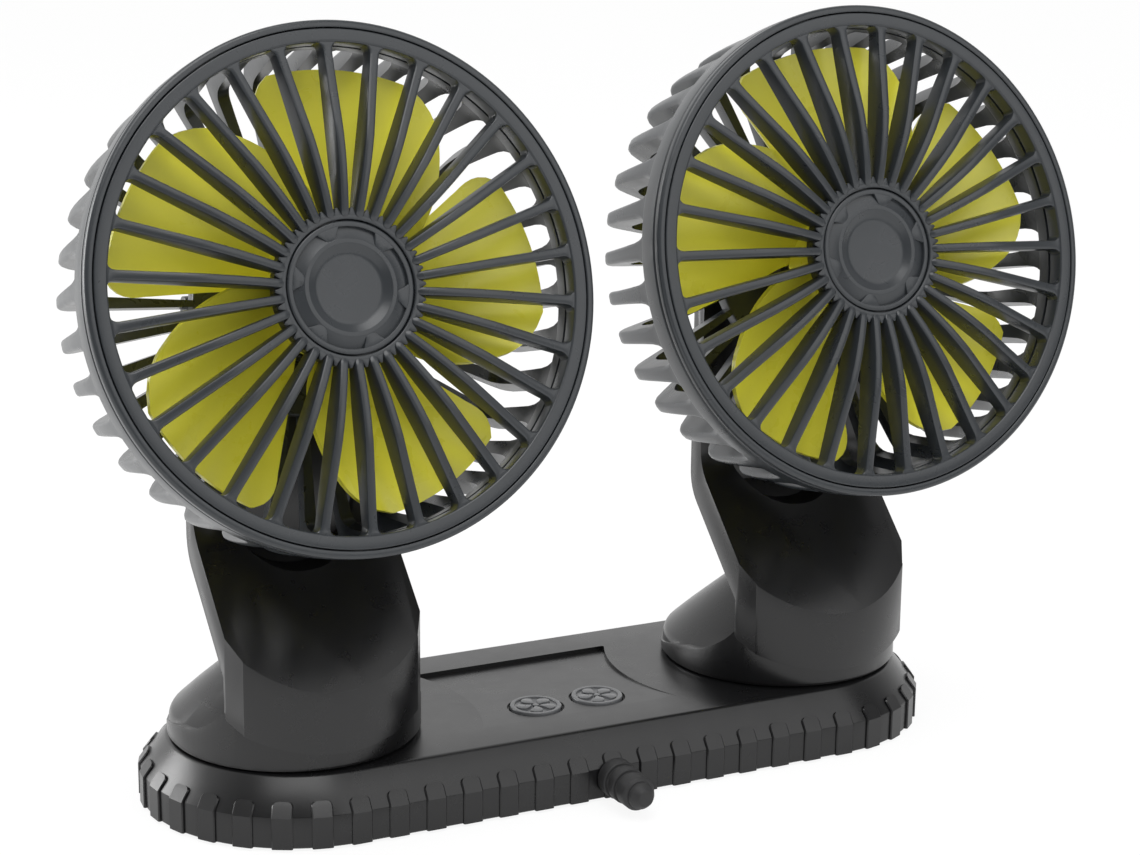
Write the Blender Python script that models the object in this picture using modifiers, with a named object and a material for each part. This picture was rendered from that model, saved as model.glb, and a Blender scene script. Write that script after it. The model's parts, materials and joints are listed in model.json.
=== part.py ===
"""Fan with two heads on one long base, for a car or a desk.

Each head tilts on a pin between the two arms of a yoke, and each yoke turns on its own
round foot on the base. All lengths are in metres, +Z is up and the fans blow towards -Y.
The origin is the middle of the underside of the anti-slip mat.
"""

import math

import bmesh
import bpy
from mathutils import Matrix, Vector

# General clearances
GAP = 0.0003
OVERRUN = 0.0020
SINK = 0.0006
MERGE = 0.00001
FLAT_ANGLE = math.radians(0.3)

# Base housing
BASE_END_X = 0.0720
BASE_SKIRT_RADIUS = 0.0421
BASE_TOP_RADIUS = 0.0352
BASE_SKIRT_LOW_Z = 0.0006
BASE_SKIRT_TOP_Z = 0.0090
BASE_TOP_Z = 0.0177
BASE_TOP_EDGE = 0.0008
BASE_WALL = 0.0022

# Mat and floor plate
MAT_INSET = 0.0032
MAT_THICK = 0.0010
PLATE_THICK = 0.0020

# Screws of the base
BASE_SCREW_X = 0.0430
BASE_SCREW_Y = 0.0250
BASE_SCREW_RADIUS = 0.0012
BASE_SCREW_HEAD_RADIUS = 0.0025
BASE_SCREW_HEAD_HEIGHT = 0.0011
BASE_SCREW_BITE = 0.0080
BASE_BOSS_RADIUS = 0.0033

# Tray and push buttons
TRAY_BACK_Y = 0.0224
TRAY_DEPTH = 0.0012
TRAY_ARC_RADIUS = 0.0498
BUTTON_X = 0.0093
BUTTON_Y = -0.0136
BUTTON_RADIUS = 0.0070
BUTTON_PROUD = 0.0004
BUTTON_EDGE = 0.0006
BUTTON_FLANGE = 0.0012
BUTTON_STEM_RADIUS = 0.0022
BUTTON_STEM_LENGTH = 0.0010
BUTTON_TRAVEL = 0.0008

# Control board and its switches
BOARD_LENGTH = 0.0460
BOARD_WIDTH = 0.0220
BOARD_THICK = 0.0016
BOARD_POST_RADIUS = 0.0020
BOARD_POST_INSET = 0.0040
SWITCH_SIZE = 0.0060
SWITCH_HEIGHT = 0.0036
SWITCH_TIP_RADIUS = 0.0016
SWITCH_TIP_HEIGHT = 0.0009

# Cord boot on the front wall
BOOT_Z = 0.0064
BOOT_LENGTH = 0.0180
BOOT_ROOT_RADIUS = 0.0044
BOOT_TIP_RADIUS = 0.0028
BOOT_NECK_RADIUS = 0.0021
BOOT_FLANGE_THICK = 0.0012
BOOT_BORE_RADIUS = 0.0016
BOOT_RIBS = 3
BOOT_RIB_DEPTH = 0.0007

# Turning axis of each pod
POD_X = 0.0740
POD_Y = -0.0010

# Round foot of a pod
FOOT_RADIUS = 0.0334
FOOT_LIFT = 0.0005
FOOT_RIM_Z = 0.0206
FOOT_DOME_RADIUS = 0.0130
FOOT_DOME_Z = 0.0410
FOOT_CROWN_Z = 0.0440
STUB_RADIUS = 0.0100
STUB_BORE_RADIUS = 0.0060
STUB_BORE_TOP_Z = 0.0320
STUB_TAIL = 0.0012
CLIP_THICK = 0.0012
CLIP_GROOVE_DEPTH = 0.0012
CLIP_RADIUS = 0.0132
FOOT_HOLLOW_INNER = 0.0125
FOOT_HOLLOW_OUTER = 0.0235
FOOT_HOLLOW_TOP_Z = 0.0285
SPINE_HALF_WIDTH = 0.0140
SPINE_TOP_Y = -0.0145
SPINE_END_Y = 0.0320
SPINE_END_Z = 0.0215
SCOOP_RADIUS = 0.0190
SCOOP_Y = -0.0025
SCOOP_Z = 0.0442
SCOOP_END_Y = 0.0135
CUT_TOP_Z = 0.0600

# Neck and yoke of a pod
NECK_RADIUS = 0.03635
NECK_HALF_WIDTH = 0.0255
NECK_FACET_WIDTH = 0.0027
NECK_FACET_FRONT_Y = -0.0283
NECK_FACET_BACK_Y = -0.0230
NECK_LEAN = math.radians(46.13)
NECK_EDGE_Z = 0.0398
NECK_THICK = 0.00885
NECK_SKIRT_FRONT_Z = 0.0235
NECK_SKIRT_SIDE_Z = 0.0300
NECK_SKIRT_INNER_Y = -0.0200
ARM_FRONT_Y = -0.0007
ARM_THICK = 0.0055
ARM_TOP_OVER_PIVOT = 0.0056
SLOT_HALF_WIDTH = 0.0145
SLOT_FLOOR_Z = 0.1085
SLOT_CORNER = 0.0080
RECESS_HALF_WIDTH = 0.0178
RECESS_FLOOR_Z = 0.0643
RECESS_CORNER = 0.0100
RECESS_WALL = 0.0030
YOKE_SCREW_X = 0.0110
YOKE_SCREW_Y = -0.0250
YOKE_SCREW_RADIUS = 0.0013
YOKE_SCREW_HEAD_RADIUS = 0.0024
YOKE_SCREW_HEAD_HEIGHT = 0.0016
YOKE_SCREW_HEAD_Z = 0.0250
YOKE_SCREW_TOP_COVER = 0.0040

# Tilt pivot
PIVOT_Z = 0.1298
PIVOT_PIN_RADIUS = 0.0015
PIVOT_PIN_CLEARANCE = 0.0001
PIN_INSET = 0.0015
WASHER_THICK = 0.0006
WASHER_RADIUS = 0.0040
KNUCKLE_RADIUS = 0.0042
KNUCKLE_WEB_HALF_HEIGHT = 0.0036
KNUCKLE_SLOT_HALF_WIDTH = 0.0050
KNUCKLE_END_STEP = 0.0001

# Fan head: depths run back from the front plane of the ring
HEAD_TILT = {"left": math.radians(17.3), "right": math.radians(15.0)}
PIVOT_DEPTH = 0.04825
RING_RADIUS = 0.0646
RING_ROUND = 0.0012
RING_FACE_WIDTH = 0.0019
LEDGE_DEPTH = 0.0055
BAND_DEPTH = 0.0100
BAND_BACK_RADIUS = 0.0644
BAND_INNER_RADIUS = 0.0590

# Ribs of the rear cage
RIB_COUNT = 36
RIB_ROOT_INSET = 0.0005
RIB_ROOT_WIDTH = 0.0086
RIB_FLARE_DEPTH = 0.0155
RIB_FLARE_WIDTH = 0.0048
RIB_WAIST_RADIUS = 0.0572
RIB_WAIST_DEPTH = 0.0270
RIB_NOSE_RADIUS = 0.0624
RIB_NOSE_DEPTH = 0.0330
RIB_NOSE_WIDTH = 0.0036
RIB_TURN_RADIUS = 0.0612
RIB_TURN_DEPTH = 0.0366
RIB_HEEL_RADIUS = 0.0580
RIB_HEEL_DEPTH = 0.0384
RIB_ELBOW_RADIUS = 0.0545
RIB_HUB_WIDTH = 0.0020
RIB_BACK_THICK = 0.0044
HUB_BACK_DEPTH = 0.0400
REAR_RING_RADIUS = 0.0280
REAR_RING_LIP = 0.0034
REAR_RING_HOLE_RADIUS = 0.0150
REAR_RING_THICK = 0.0022

# Front grille
GRILLE_WIDTH = 0.0033
GRILLE_THICK = 0.0050
SPOKE_COUNT = 30
SPOKE_START = {"left": math.radians(88.4), "right": math.radians(93.2)}
SPOKE_OUTER_WIDTH = 0.0025
SPOKE_INNER_WIDTH = 0.0021
SPOKE_OUTER_DEPTH = 0.0046
SPOKE_FRONT_INSET = 0.0004
SPOKE_SHOULDER_RADIUS = 0.0480
SPOKE_SHOULDER_RISE = 0.0012
SPOKE_CREST_OUTER_RADIUS = 0.0370
SPOKE_CREST_INNER_RADIUS = 0.0290
SPOKE_CREST_RISE = 0.0030
SPOKE_CREST_DEPTH = 0.0074
SPOKE_END_RADIUS = 0.0176
SPOKE_END_RISE = 0.0012
SPOKE_END_DEPTH = 0.0046
HUB_RISE = 0.0006
HUB_RING_RADIUS = 0.0190
HUB_RING_WIDTH = 0.0026
HUB_SEAT_DEPTH = 0.0022
HUB_FLOOR_THICK = 0.0016
CAP_RISE = 0.0004
CAP_ROUND = 0.0008
CAP_DISH_RADIUS = 0.0106
CAP_DISH_DEPTH = 0.0013
CAP_WINDOWS = 6
CAP_WINDOW_START = {"left": math.radians(58.0), "right": math.radians(86.0)}
CAP_WINDOW_SPAN = math.radians(38.0)
CAP_WINDOW_INNER = 0.0120
CAP_WINDOW_OUTER = 0.0146
CAP_WINDOW_DEPTH = 0.0010

# Impeller
BLADE_COUNT = 5
BLADE_TIP_RADIUS = 0.0552
BLADE_THICK = 0.0014
BLADE_ROOT_SPAN = math.radians(58.0)
BLADE_TIP_SPAN = math.radians(52.0)
BLADE_TIP_SHARE = 0.45
BLADE_SWEEP = math.radians(24.0)
BLADE_ROOT_RISE = 0.0130
BLADE_TIP_RISE = 0.0090
BLADE_MID_DEPTH = 0.0140
BLADE_START = {"left": math.radians(-14.0), "right": math.radians(4.0)}
IMPELLER_HUB_RADIUS = 0.0150
IMPELLER_HUB_LENGTH = 0.0160
IMPELLER_HUB_WALL = 0.0016
IMPELLER_HUB_ROUND = 0.0030
IMPELLER_FRONT_DEPTH = 0.0044
IMPELLER_BOSS_RADIUS = 0.0036

# Motor and its cover
MOTOR_RADIUS = 0.0122
MOTOR_LENGTH = 0.0240
MOTOR_NOSE_RADIUS = 0.0045
MOTOR_NOSE_HEIGHT = 0.0012
SHAFT_RADIUS = 0.0012
SHAFT_IN_MOTOR = 0.0120
COVER_WALL = 0.0023
COLLAR_LENGTH = 0.0120
COVER_SCREWS = 3
COVER_SCREW_CIRCLE = 0.0193
COVER_SCREW_RADIUS = 0.0011
COVER_SCREW_HEAD_RADIUS = 0.0021
COVER_SCREW_HEAD_HEIGHT = 0.0009
COVER_SCREW_BITE = 0.0034
COVER_BOSS_RADIUS = 0.0028

# Facets
END_STEPS = 12
FOOT_STEPS = 32
ROUND_STEPS = 16
SMALL_STEPS = 8
RING_STEPS = 36
REAR_STEPS = 18
CAP_STEPS = 24
WINDOW_STEPS = 3
BLADE_ACROSS = 4
BLADE_ALONG = 4

# Worked out from the sizes above
MAT_RADIUS = BASE_SKIRT_RADIUS - MAT_INSET
PLATE_LOW_Z = MAT_THICK + GAP
PLATE_TOP_Z = PLATE_LOW_Z + PLATE_THICK
PLATE_RADIUS = BASE_SKIRT_RADIUS - BASE_WALL - GAP
BASE_INNER_TOP_Z = BASE_TOP_Z - BASE_WALL
BASE_SLOPE = (BASE_SKIRT_RADIUS - BASE_TOP_RADIUS) / (BASE_TOP_Z - BASE_SKIRT_TOP_Z)
FOOT_LOW_Z = BASE_TOP_Z + FOOT_LIFT
CLIP_TOP_Z = BASE_INNER_TOP_Z - GAP
CLIP_LOW_Z = CLIP_TOP_Z - CLIP_THICK
STUB_LOW_Z = CLIP_LOW_Z - GAP - STUB_TAIL
PIVOT_Y = ARM_FRONT_Y + ARM_THICK / 2
ARM_TOP_Z = PIVOT_Z + ARM_TOP_OVER_PIVOT
BORE_RADIUS = PIVOT_PIN_RADIUS + PIVOT_PIN_CLEARANCE
KNUCKLE_HALF_WIDTH = SLOT_HALF_WIDTH - WASHER_THICK - 2 * GAP
GRILLE_RADIUS = RING_RADIUS - RING_FACE_WIDTH - GAP
GRILLE_INNER_RADIUS = GRILLE_RADIUS - GRILLE_WIDTH
COVER_RADIUS = REAR_RING_RADIUS - REAR_RING_LIP - GAP
REAR_PLATE_DEPTH = HUB_BACK_DEPTH - COVER_WALL - GAP
CAP_RADIUS = HUB_RING_RADIUS - HUB_RING_WIDTH - GAP
MOTOR_BACK_DEPTH = HUB_BACK_DEPTH - COVER_WALL - GAP
MOTOR_FRONT_DEPTH = MOTOR_BACK_DEPTH - MOTOR_LENGTH
SIDES = {"left": -1, "right": 1}

# Directions of a plate's outline: across and up, then the way it is thick
IN_YZ = Matrix(((0, 0, 1), (1, 0, 0), (0, 1, 0))).to_4x4()
IN_XZ = Matrix(((1, 0, 0), (0, 0, -1), (0, 1, 0))).to_4x4()


def clear_scene():
    """Remove what a new file holds."""
    for item in list(bpy.data.objects):
        bpy.data.objects.remove(item)


def new_collection(name):
    """Make a collection in the scene."""
    group = bpy.data.collections.new(name)
    bpy.context.scene.collection.children.link(group)
    return group


def new_material(name, colour, roughness, metallic=0.0):
    """Make a plain Principled material."""
    item = bpy.data.materials.new(name)
    item.use_nodes = True
    shader = item.node_tree.nodes["Principled BSDF"]
    shader.inputs["Base Color"].default_value = (*colour, 1.0)
    shader.inputs["Roughness"].default_value = roughness
    shader.inputs["Metallic"].default_value = metallic
    return item


def scratch(name, mesh, matrix=Matrix.Identity(4)):
    """Put a mesh into the scene as a working object."""
    mesh.transform(matrix)
    item = bpy.data.objects.new(name, mesh)
    bpy.context.scene.collection.objects.link(item)
    return item


def settle(item):
    """Turn an object with modifiers, or a curve, into a plain welded mesh object."""
    bpy.context.view_layer.update()
    graph = bpy.context.evaluated_depsgraph_get()
    mesh = bpy.data.meshes.new_from_object(item.evaluated_get(graph))
    data = bmesh.new()
    data.from_mesh(mesh)
    bmesh.ops.remove_doubles(data, verts=data.verts, dist=MERGE)
    bmesh.ops.dissolve_limit(data, angle_limit=FLAT_ANGLE, verts=data.verts, edges=data.edges)
    bmesh.ops.recalc_face_normals(data, faces=data.faces)
    data.to_mesh(mesh)
    data.free()
    place = item.matrix_world.copy()
    name = item.name
    bpy.data.objects.remove(item)
    return scratch(name, mesh, place)


def cylinder(name, radius, low, high, at=(0, 0), steps=ROUND_STEPS, top_radius=None):
    """Stand a cylinder or cone between two heights."""
    data = bmesh.new()
    bmesh.ops.create_cone(
        data, cap_ends=True, segments=steps, radius1=radius,
        radius2=radius if top_radius is None else top_radius, depth=high - low)
    mesh = bpy.data.meshes.new(name)
    data.to_mesh(mesh)
    data.free()
    return scratch(name, mesh, Matrix.Translation((at[0], at[1], (low + high) / 2)))


def box(name, low, high):
    """Make a box between two corners."""
    size = Vector(high) - Vector(low)
    middle = (Vector(high) + Vector(low)) / 2
    data = bmesh.new()
    bmesh.ops.create_cube(data, size=1)
    mesh = bpy.data.meshes.new(name)
    data.to_mesh(mesh)
    data.free()
    return scratch(name, mesh, Matrix.Translation(middle) @ Matrix.Diagonal((*size, 1)))


def turned(name, profile, steps=ROUND_STEPS, closed=False):
    """Turn a profile of radius and height about Z with a Screw modifier."""
    mesh = bpy.data.meshes.new(name)
    edges = [(k, k + 1) for k in range(len(profile) - 1)]
    if closed:
        edges.append((len(profile) - 1, 0))
    mesh.from_pydata([(radius, 0, height) for radius, height in profile], edges, [])
    item = scratch(name, mesh)
    screw = item.modifiers.new("turn", "SCREW")
    screw.steps = steps
    screw.render_steps = steps
    screw.use_merge_vertices = True
    screw.merge_threshold = MERGE
    return settle(item)


def plate(name, outline, low, high, matrix=Matrix.Identity(4)):
    """Extrude a flat outline between two levels across its own plane."""
    curve = bpy.data.curves.new(name, "CURVE")
    curve.dimensions = "2D"
    curve.fill_mode = "BOTH"
    curve.extrude = (high - low) / 2
    line = curve.splines.new("POLY")
    line.points.add(len(outline) - 1)
    for point, place in zip(line.points, outline):
        point.co = (place[0], place[1], 0, 1)
    line.use_cyclic_u = True
    item = bpy.data.objects.new(name, curve)
    bpy.context.scene.collection.objects.link(item)
    item.matrix_world = matrix @ Matrix.Translation((0, 0, (low + high) / 2))
    return settle(item)


def combine(item, tool, operation):
    """Join, cut or intersect one object with another, which is used up."""
    step = item.modifiers.new(operation.lower(), "BOOLEAN")
    step.operation = operation
    step.solver = "EXACT"
    step.object = tool
    item = settle(item)
    bpy.data.objects.remove(tool)
    return item


def cut(item, *tools):
    """Take tools away from an object."""
    for tool in tools:
        item = combine(item, tool, "DIFFERENCE")
    return item


def join(item, *tools):
    """Add tools to an object."""
    for tool in tools:
        item = combine(item, tool, "UNION")
    return item


def round_pattern(item, count, start=0.0):
    """Repeat an object about Z in one mesh."""
    data = bmesh.new()
    for index in range(count):
        copy = item.data.copy()
        copy.transform(Matrix.Rotation(start + index * math.tau / count, 4, "Z"))
        data.from_mesh(copy)
        bpy.data.meshes.remove(copy)
    name = item.name
    bpy.data.objects.remove(item)
    mesh = bpy.data.meshes.new(name)
    data.to_mesh(mesh)
    data.free()
    return scratch(name, mesh)


def arc(centre, radius, start, end, steps):
    """List points along an arc, both ends included."""
    points = []
    for index in range(steps + 1):
        turn = start + (end - start) * index / steps
        points.append((centre[0] + radius * math.cos(turn), centre[1] + radius * math.sin(turn)))
    return points


def stadium(end_x, radius):
    """Outline a bar with round ends."""
    right = arc((end_x, 0), radius, -math.pi / 2, math.pi / 2, END_STEPS)
    left = arc((-end_x, 0), radius, math.pi / 2, 3 * math.pi / 2, END_STEPS)
    return right + left


def loft(name, rings):
    """Close a solid over rings that have equal numbers of points."""
    data = bmesh.new()
    rows = [[data.verts.new(point) for point in ring] for ring in rings]
    data.faces.new(rows[0])
    data.faces.new(rows[-1])
    for lower, upper in zip(rows, rows[1:]):
        for index in range(len(lower)):
            after = (index + 1) % len(lower)
            data.faces.new((lower[index], lower[after], upper[after], upper[index]))
    bmesh.ops.recalc_face_normals(data, faces=data.faces)
    mesh = bpy.data.meshes.new(name)
    data.to_mesh(mesh)
    data.free()
    return scratch(name, mesh)


def stadium_stack(name, levels):
    """Loft a bar with round ends through pairs of height and end radius."""
    return loft(name, [
        [(x, y, height) for x, y in stadium(BASE_END_X, radius)] for height, radius in levels])


def slope_radius(height):
    """Give the end radius of the base's sloping side at a height."""
    return BASE_TOP_RADIUS + BASE_SLOPE * (BASE_TOP_Z - height)


def base_screw_places():
    """List where the base's screws stand."""
    return [(x, y) for x in (-BASE_SCREW_X, BASE_SCREW_X) for y in (-BASE_SCREW_Y, BASE_SCREW_Y)]


def tray_cutter():
    """Wedge between the pods, deepest at its back edge and running out at the front."""
    reach = math.asin((TRAY_BACK_Y - POD_Y) / TRAY_ARC_RADIUS)
    front = math.asin((BASE_TOP_RADIUS + POD_Y + OVERRUN) / TRAY_ARC_RADIUS)
    right = arc((POD_X, POD_Y), TRAY_ARC_RADIUS, math.pi + front, math.pi - reach, SMALL_STEPS)
    outline = right + [(-x, y) for x, y in reversed(right)]
    tool = plate("tray", outline, BASE_TOP_Z - TRAY_DEPTH, BASE_TOP_Z + OVERRUN)
    for corner in tool.data.vertices:
        if corner.co.z < BASE_TOP_Z:
            share = (corner.co.y + BASE_TOP_RADIUS) / (TRAY_BACK_Y + BASE_TOP_RADIUS)
            corner.co.z = BASE_TOP_Z - TRAY_DEPTH * share
    return tool


def make_base_shell():
    """Hollow housing of the base, open below."""
    edge_z = BASE_TOP_Z - BASE_TOP_EDGE
    shell = stadium_stack("base_shell", [
        (BASE_SKIRT_LOW_Z, BASE_SKIRT_RADIUS), (BASE_SKIRT_TOP_Z, BASE_SKIRT_RADIUS),
        (edge_z, slope_radius(edge_z)), (BASE_TOP_Z, slope_radius(edge_z) - BASE_TOP_EDGE)])
    hollow = stadium_stack("hollow", [
        (BASE_SKIRT_LOW_Z - OVERRUN, BASE_SKIRT_RADIUS - BASE_WALL),
        (BASE_SKIRT_TOP_Z, BASE_SKIRT_RADIUS - BASE_WALL),
        (BASE_INNER_TOP_Z, slope_radius(BASE_INNER_TOP_Z) - BASE_WALL)])
    shell = cut(shell, hollow)
    for place in base_screw_places():
        shell = join(shell, cylinder(
            "boss", BASE_BOSS_RADIUS, PLATE_TOP_Z + GAP, BASE_INNER_TOP_Z + SINK, place, SMALL_STEPS))
        shell = cut(shell, cylinder(
            "pilot", BASE_SCREW_RADIUS + GAP, PLATE_LOW_Z,
            PLATE_TOP_Z + BASE_SCREW_BITE + GAP, place, SMALL_STEPS))
    shell = cut(shell, tray_cutter())
    for side in SIDES.values():
        shell = cut(shell, cylinder(
            "bearing", STUB_RADIUS + GAP, BASE_INNER_TOP_Z - OVERRUN, BASE_TOP_Z + OVERRUN,
            (side * POD_X, POD_Y), ROUND_STEPS))
        shell = cut(shell, cylinder(
            "button_hole", BUTTON_RADIUS + GAP, BASE_INNER_TOP_Z - OVERRUN,
            BASE_TOP_Z + OVERRUN, (side * BUTTON_X, BUTTON_Y), ROUND_STEPS))
    hole = cylinder("cord_hole", BOOT_NECK_RADIUS + GAP, -BASE_WALL - OVERRUN, OVERRUN, steps=SMALL_STEPS)
    hole.data.transform(boot_place())
    return cut(shell, hole)


def boot_place():
    """Place of the cord boot: its own +Z runs out through the front wall."""
    return Matrix.Translation((0, -BASE_SKIRT_RADIUS, BOOT_Z)) @ Matrix.Rotation(math.pi / 2, 4, "X")


def make_base_plate():
    """Floor of the base with the board's posts and the screws' seats."""
    floor = stadium_stack("base_plate", [(PLATE_LOW_Z, PLATE_RADIUS), (PLATE_TOP_Z, PLATE_RADIUS)])
    for place in base_screw_places():
        floor = cut(floor, cylinder(
            "screw_hole", BASE_SCREW_RADIUS + GAP, MAT_THICK, PLATE_TOP_Z + OVERRUN, place, SMALL_STEPS))
        floor = cut(floor, cylinder(
            "screw_seat", BASE_SCREW_HEAD_RADIUS + GAP, MAT_THICK - OVERRUN,
            PLATE_LOW_Z + BASE_SCREW_HEAD_HEIGHT + GAP, place, SMALL_STEPS))
    for x in (-1, 1):
        for y in (-1, 1):
            place = (x * (BOARD_LENGTH / 2 - BOARD_POST_INSET),
                     BUTTON_Y + y * (BOARD_WIDTH / 2 - BOARD_POST_INSET))
            floor = join(floor, cylinder(
                "post", BOARD_POST_RADIUS, PLATE_TOP_Z - SINK, board_low_z() - GAP, place, SMALL_STEPS))
    return floor


def make_base_mat():
    """Anti-slip pad under the floor plate."""
    return stadium_stack("base_mat", [(0, MAT_RADIUS), (MAT_THICK, MAT_RADIUS)])


def make_base_screw(place):
    """Screw from below through the floor plate into its boss."""
    head_z = PLATE_LOW_Z + BASE_SCREW_HEAD_HEIGHT
    screw = turned("base_screw", [
        (0, PLATE_TOP_Z + BASE_SCREW_BITE), (BASE_SCREW_RADIUS, PLATE_TOP_Z + BASE_SCREW_BITE),
        (BASE_SCREW_RADIUS, head_z), (BASE_SCREW_HEAD_RADIUS, head_z),
        (BASE_SCREW_HEAD_RADIUS, PLATE_LOW_Z), (0, PLATE_LOW_Z)], SMALL_STEPS)
    screw.data.transform(Matrix.Translation((*place, 0)))
    return screw


def button_low_z():
    """Give the height of a button stem's end at rest."""
    return BASE_INNER_TOP_Z - GAP - BUTTON_FLANGE - BUTTON_STEM_LENGTH


def board_low_z():
    """Give the height of the control board's underside."""
    tip_z = button_low_z() - BUTTON_TRAVEL - GAP
    return tip_z - SWITCH_TIP_HEIGHT - SWITCH_HEIGHT - GAP - BOARD_THICK


def make_control_board():
    """Board with the speed control."""
    low_z = board_low_z()
    return box("control_board", (-BOARD_LENGTH / 2, BUTTON_Y - BOARD_WIDTH / 2, low_z),
               (BOARD_LENGTH / 2, BUTTON_Y + BOARD_WIDTH / 2, low_z + BOARD_THICK))


def make_switch(x):
    """Push switch under a button."""
    low_z = board_low_z() + BOARD_THICK + GAP
    half = SWITCH_SIZE / 2
    body = box("switch", (x - half, BUTTON_Y - half, low_z),
               (x + half, BUTTON_Y + half, low_z + SWITCH_HEIGHT))
    tip = cylinder("tip", SWITCH_TIP_RADIUS, low_z + SWITCH_HEIGHT - SINK,
                   low_z + SWITCH_HEIGHT + SWITCH_TIP_HEIGHT, (x, BUTTON_Y), SMALL_STEPS)
    return join(body, tip)


def make_button(x):
    """Round push button with a flange under the housing and a stem over its switch."""
    tray_z = BASE_TOP_Z - TRAY_DEPTH * (BUTTON_Y + BASE_TOP_RADIUS) / (TRAY_BACK_Y + BASE_TOP_RADIUS)
    top_z = tray_z + BUTTON_PROUD
    flange_z = BASE_INNER_TOP_Z - GAP
    button = turned("button", [
        (0, top_z), (BUTTON_RADIUS - BUTTON_EDGE, top_z), (BUTTON_RADIUS, top_z - BUTTON_EDGE),
        (BUTTON_RADIUS, flange_z), (BUTTON_RADIUS + BUTTON_EDGE, flange_z),
        (BUTTON_RADIUS + BUTTON_EDGE, flange_z - BUTTON_FLANGE),
        (BUTTON_STEM_RADIUS, flange_z - BUTTON_FLANGE), (BUTTON_STEM_RADIUS, button_low_z()),
        (0, button_low_z())], ROUND_STEPS)
    button.data.transform(Matrix.Translation((x, BUTTON_Y, 0)))
    return button


def make_cord_boot():
    """Ribbed strain relief, turned about its own +Z and laid through the front wall."""
    profile = [(BOOT_BORE_RADIUS, BOOT_LENGTH), (BOOT_TIP_RADIUS, BOOT_LENGTH)]
    pitch = BOOT_LENGTH / (2 * BOOT_RIBS + 1)
    for index in range(2 * BOOT_RIBS, 0, -1):
        height = index * pitch
        share = height / BOOT_LENGTH
        radius = BOOT_ROOT_RADIUS + (BOOT_TIP_RADIUS - BOOT_ROOT_RADIUS) * share
        inner = radius - BOOT_RIB_DEPTH
        profile += [(radius, height), (inner, height)] if index % 2 else [(inner, height), (radius, height)]
    flange_z = -BASE_WALL - GAP
    profile += [
        (BOOT_ROOT_RADIUS, GAP), (BOOT_NECK_RADIUS, GAP), (BOOT_NECK_RADIUS, flange_z),
        (BOOT_NECK_RADIUS + BOOT_RIB_DEPTH, flange_z),
        (BOOT_NECK_RADIUS + BOOT_RIB_DEPTH, flange_z - BOOT_FLANGE_THICK),
        (BOOT_BORE_RADIUS, flange_z - BOOT_FLANGE_THICK)]
    boot = turned("cord_boot", profile, SMALL_STEPS, closed=True)
    boot.data.transform(boot_place())
    return boot


def neck_back_z(y):
    """Give the height of the neck's slanted back plane at a place behind the axis."""
    face_z = NECK_EDGE_Z + (y + NECK_RADIUS) / math.tan(NECK_LEAN)
    return face_z - NECK_THICK / math.sin(NECK_LEAN)


def below_neck(name, radius, low, gap):
    """Upright cylinder cut off under the neck's slanted back plane."""
    body = cylinder(name, radius, low, CUT_TOP_Z, steps=FOOT_STEPS)
    lift = gap / math.sin(NECK_LEAN)
    front = -2 * FOOT_RADIUS
    back = 2 * FOOT_RADIUS
    above = [(front, neck_back_z(front) - lift), (back, neck_back_z(back) - lift),
             (back, 2 * CUT_TOP_Z + neck_back_z(back)), (front, 2 * CUT_TOP_Z + neck_back_z(back))]
    return cut(body, plate("above_neck", above, -back, back, IN_YZ))


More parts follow.
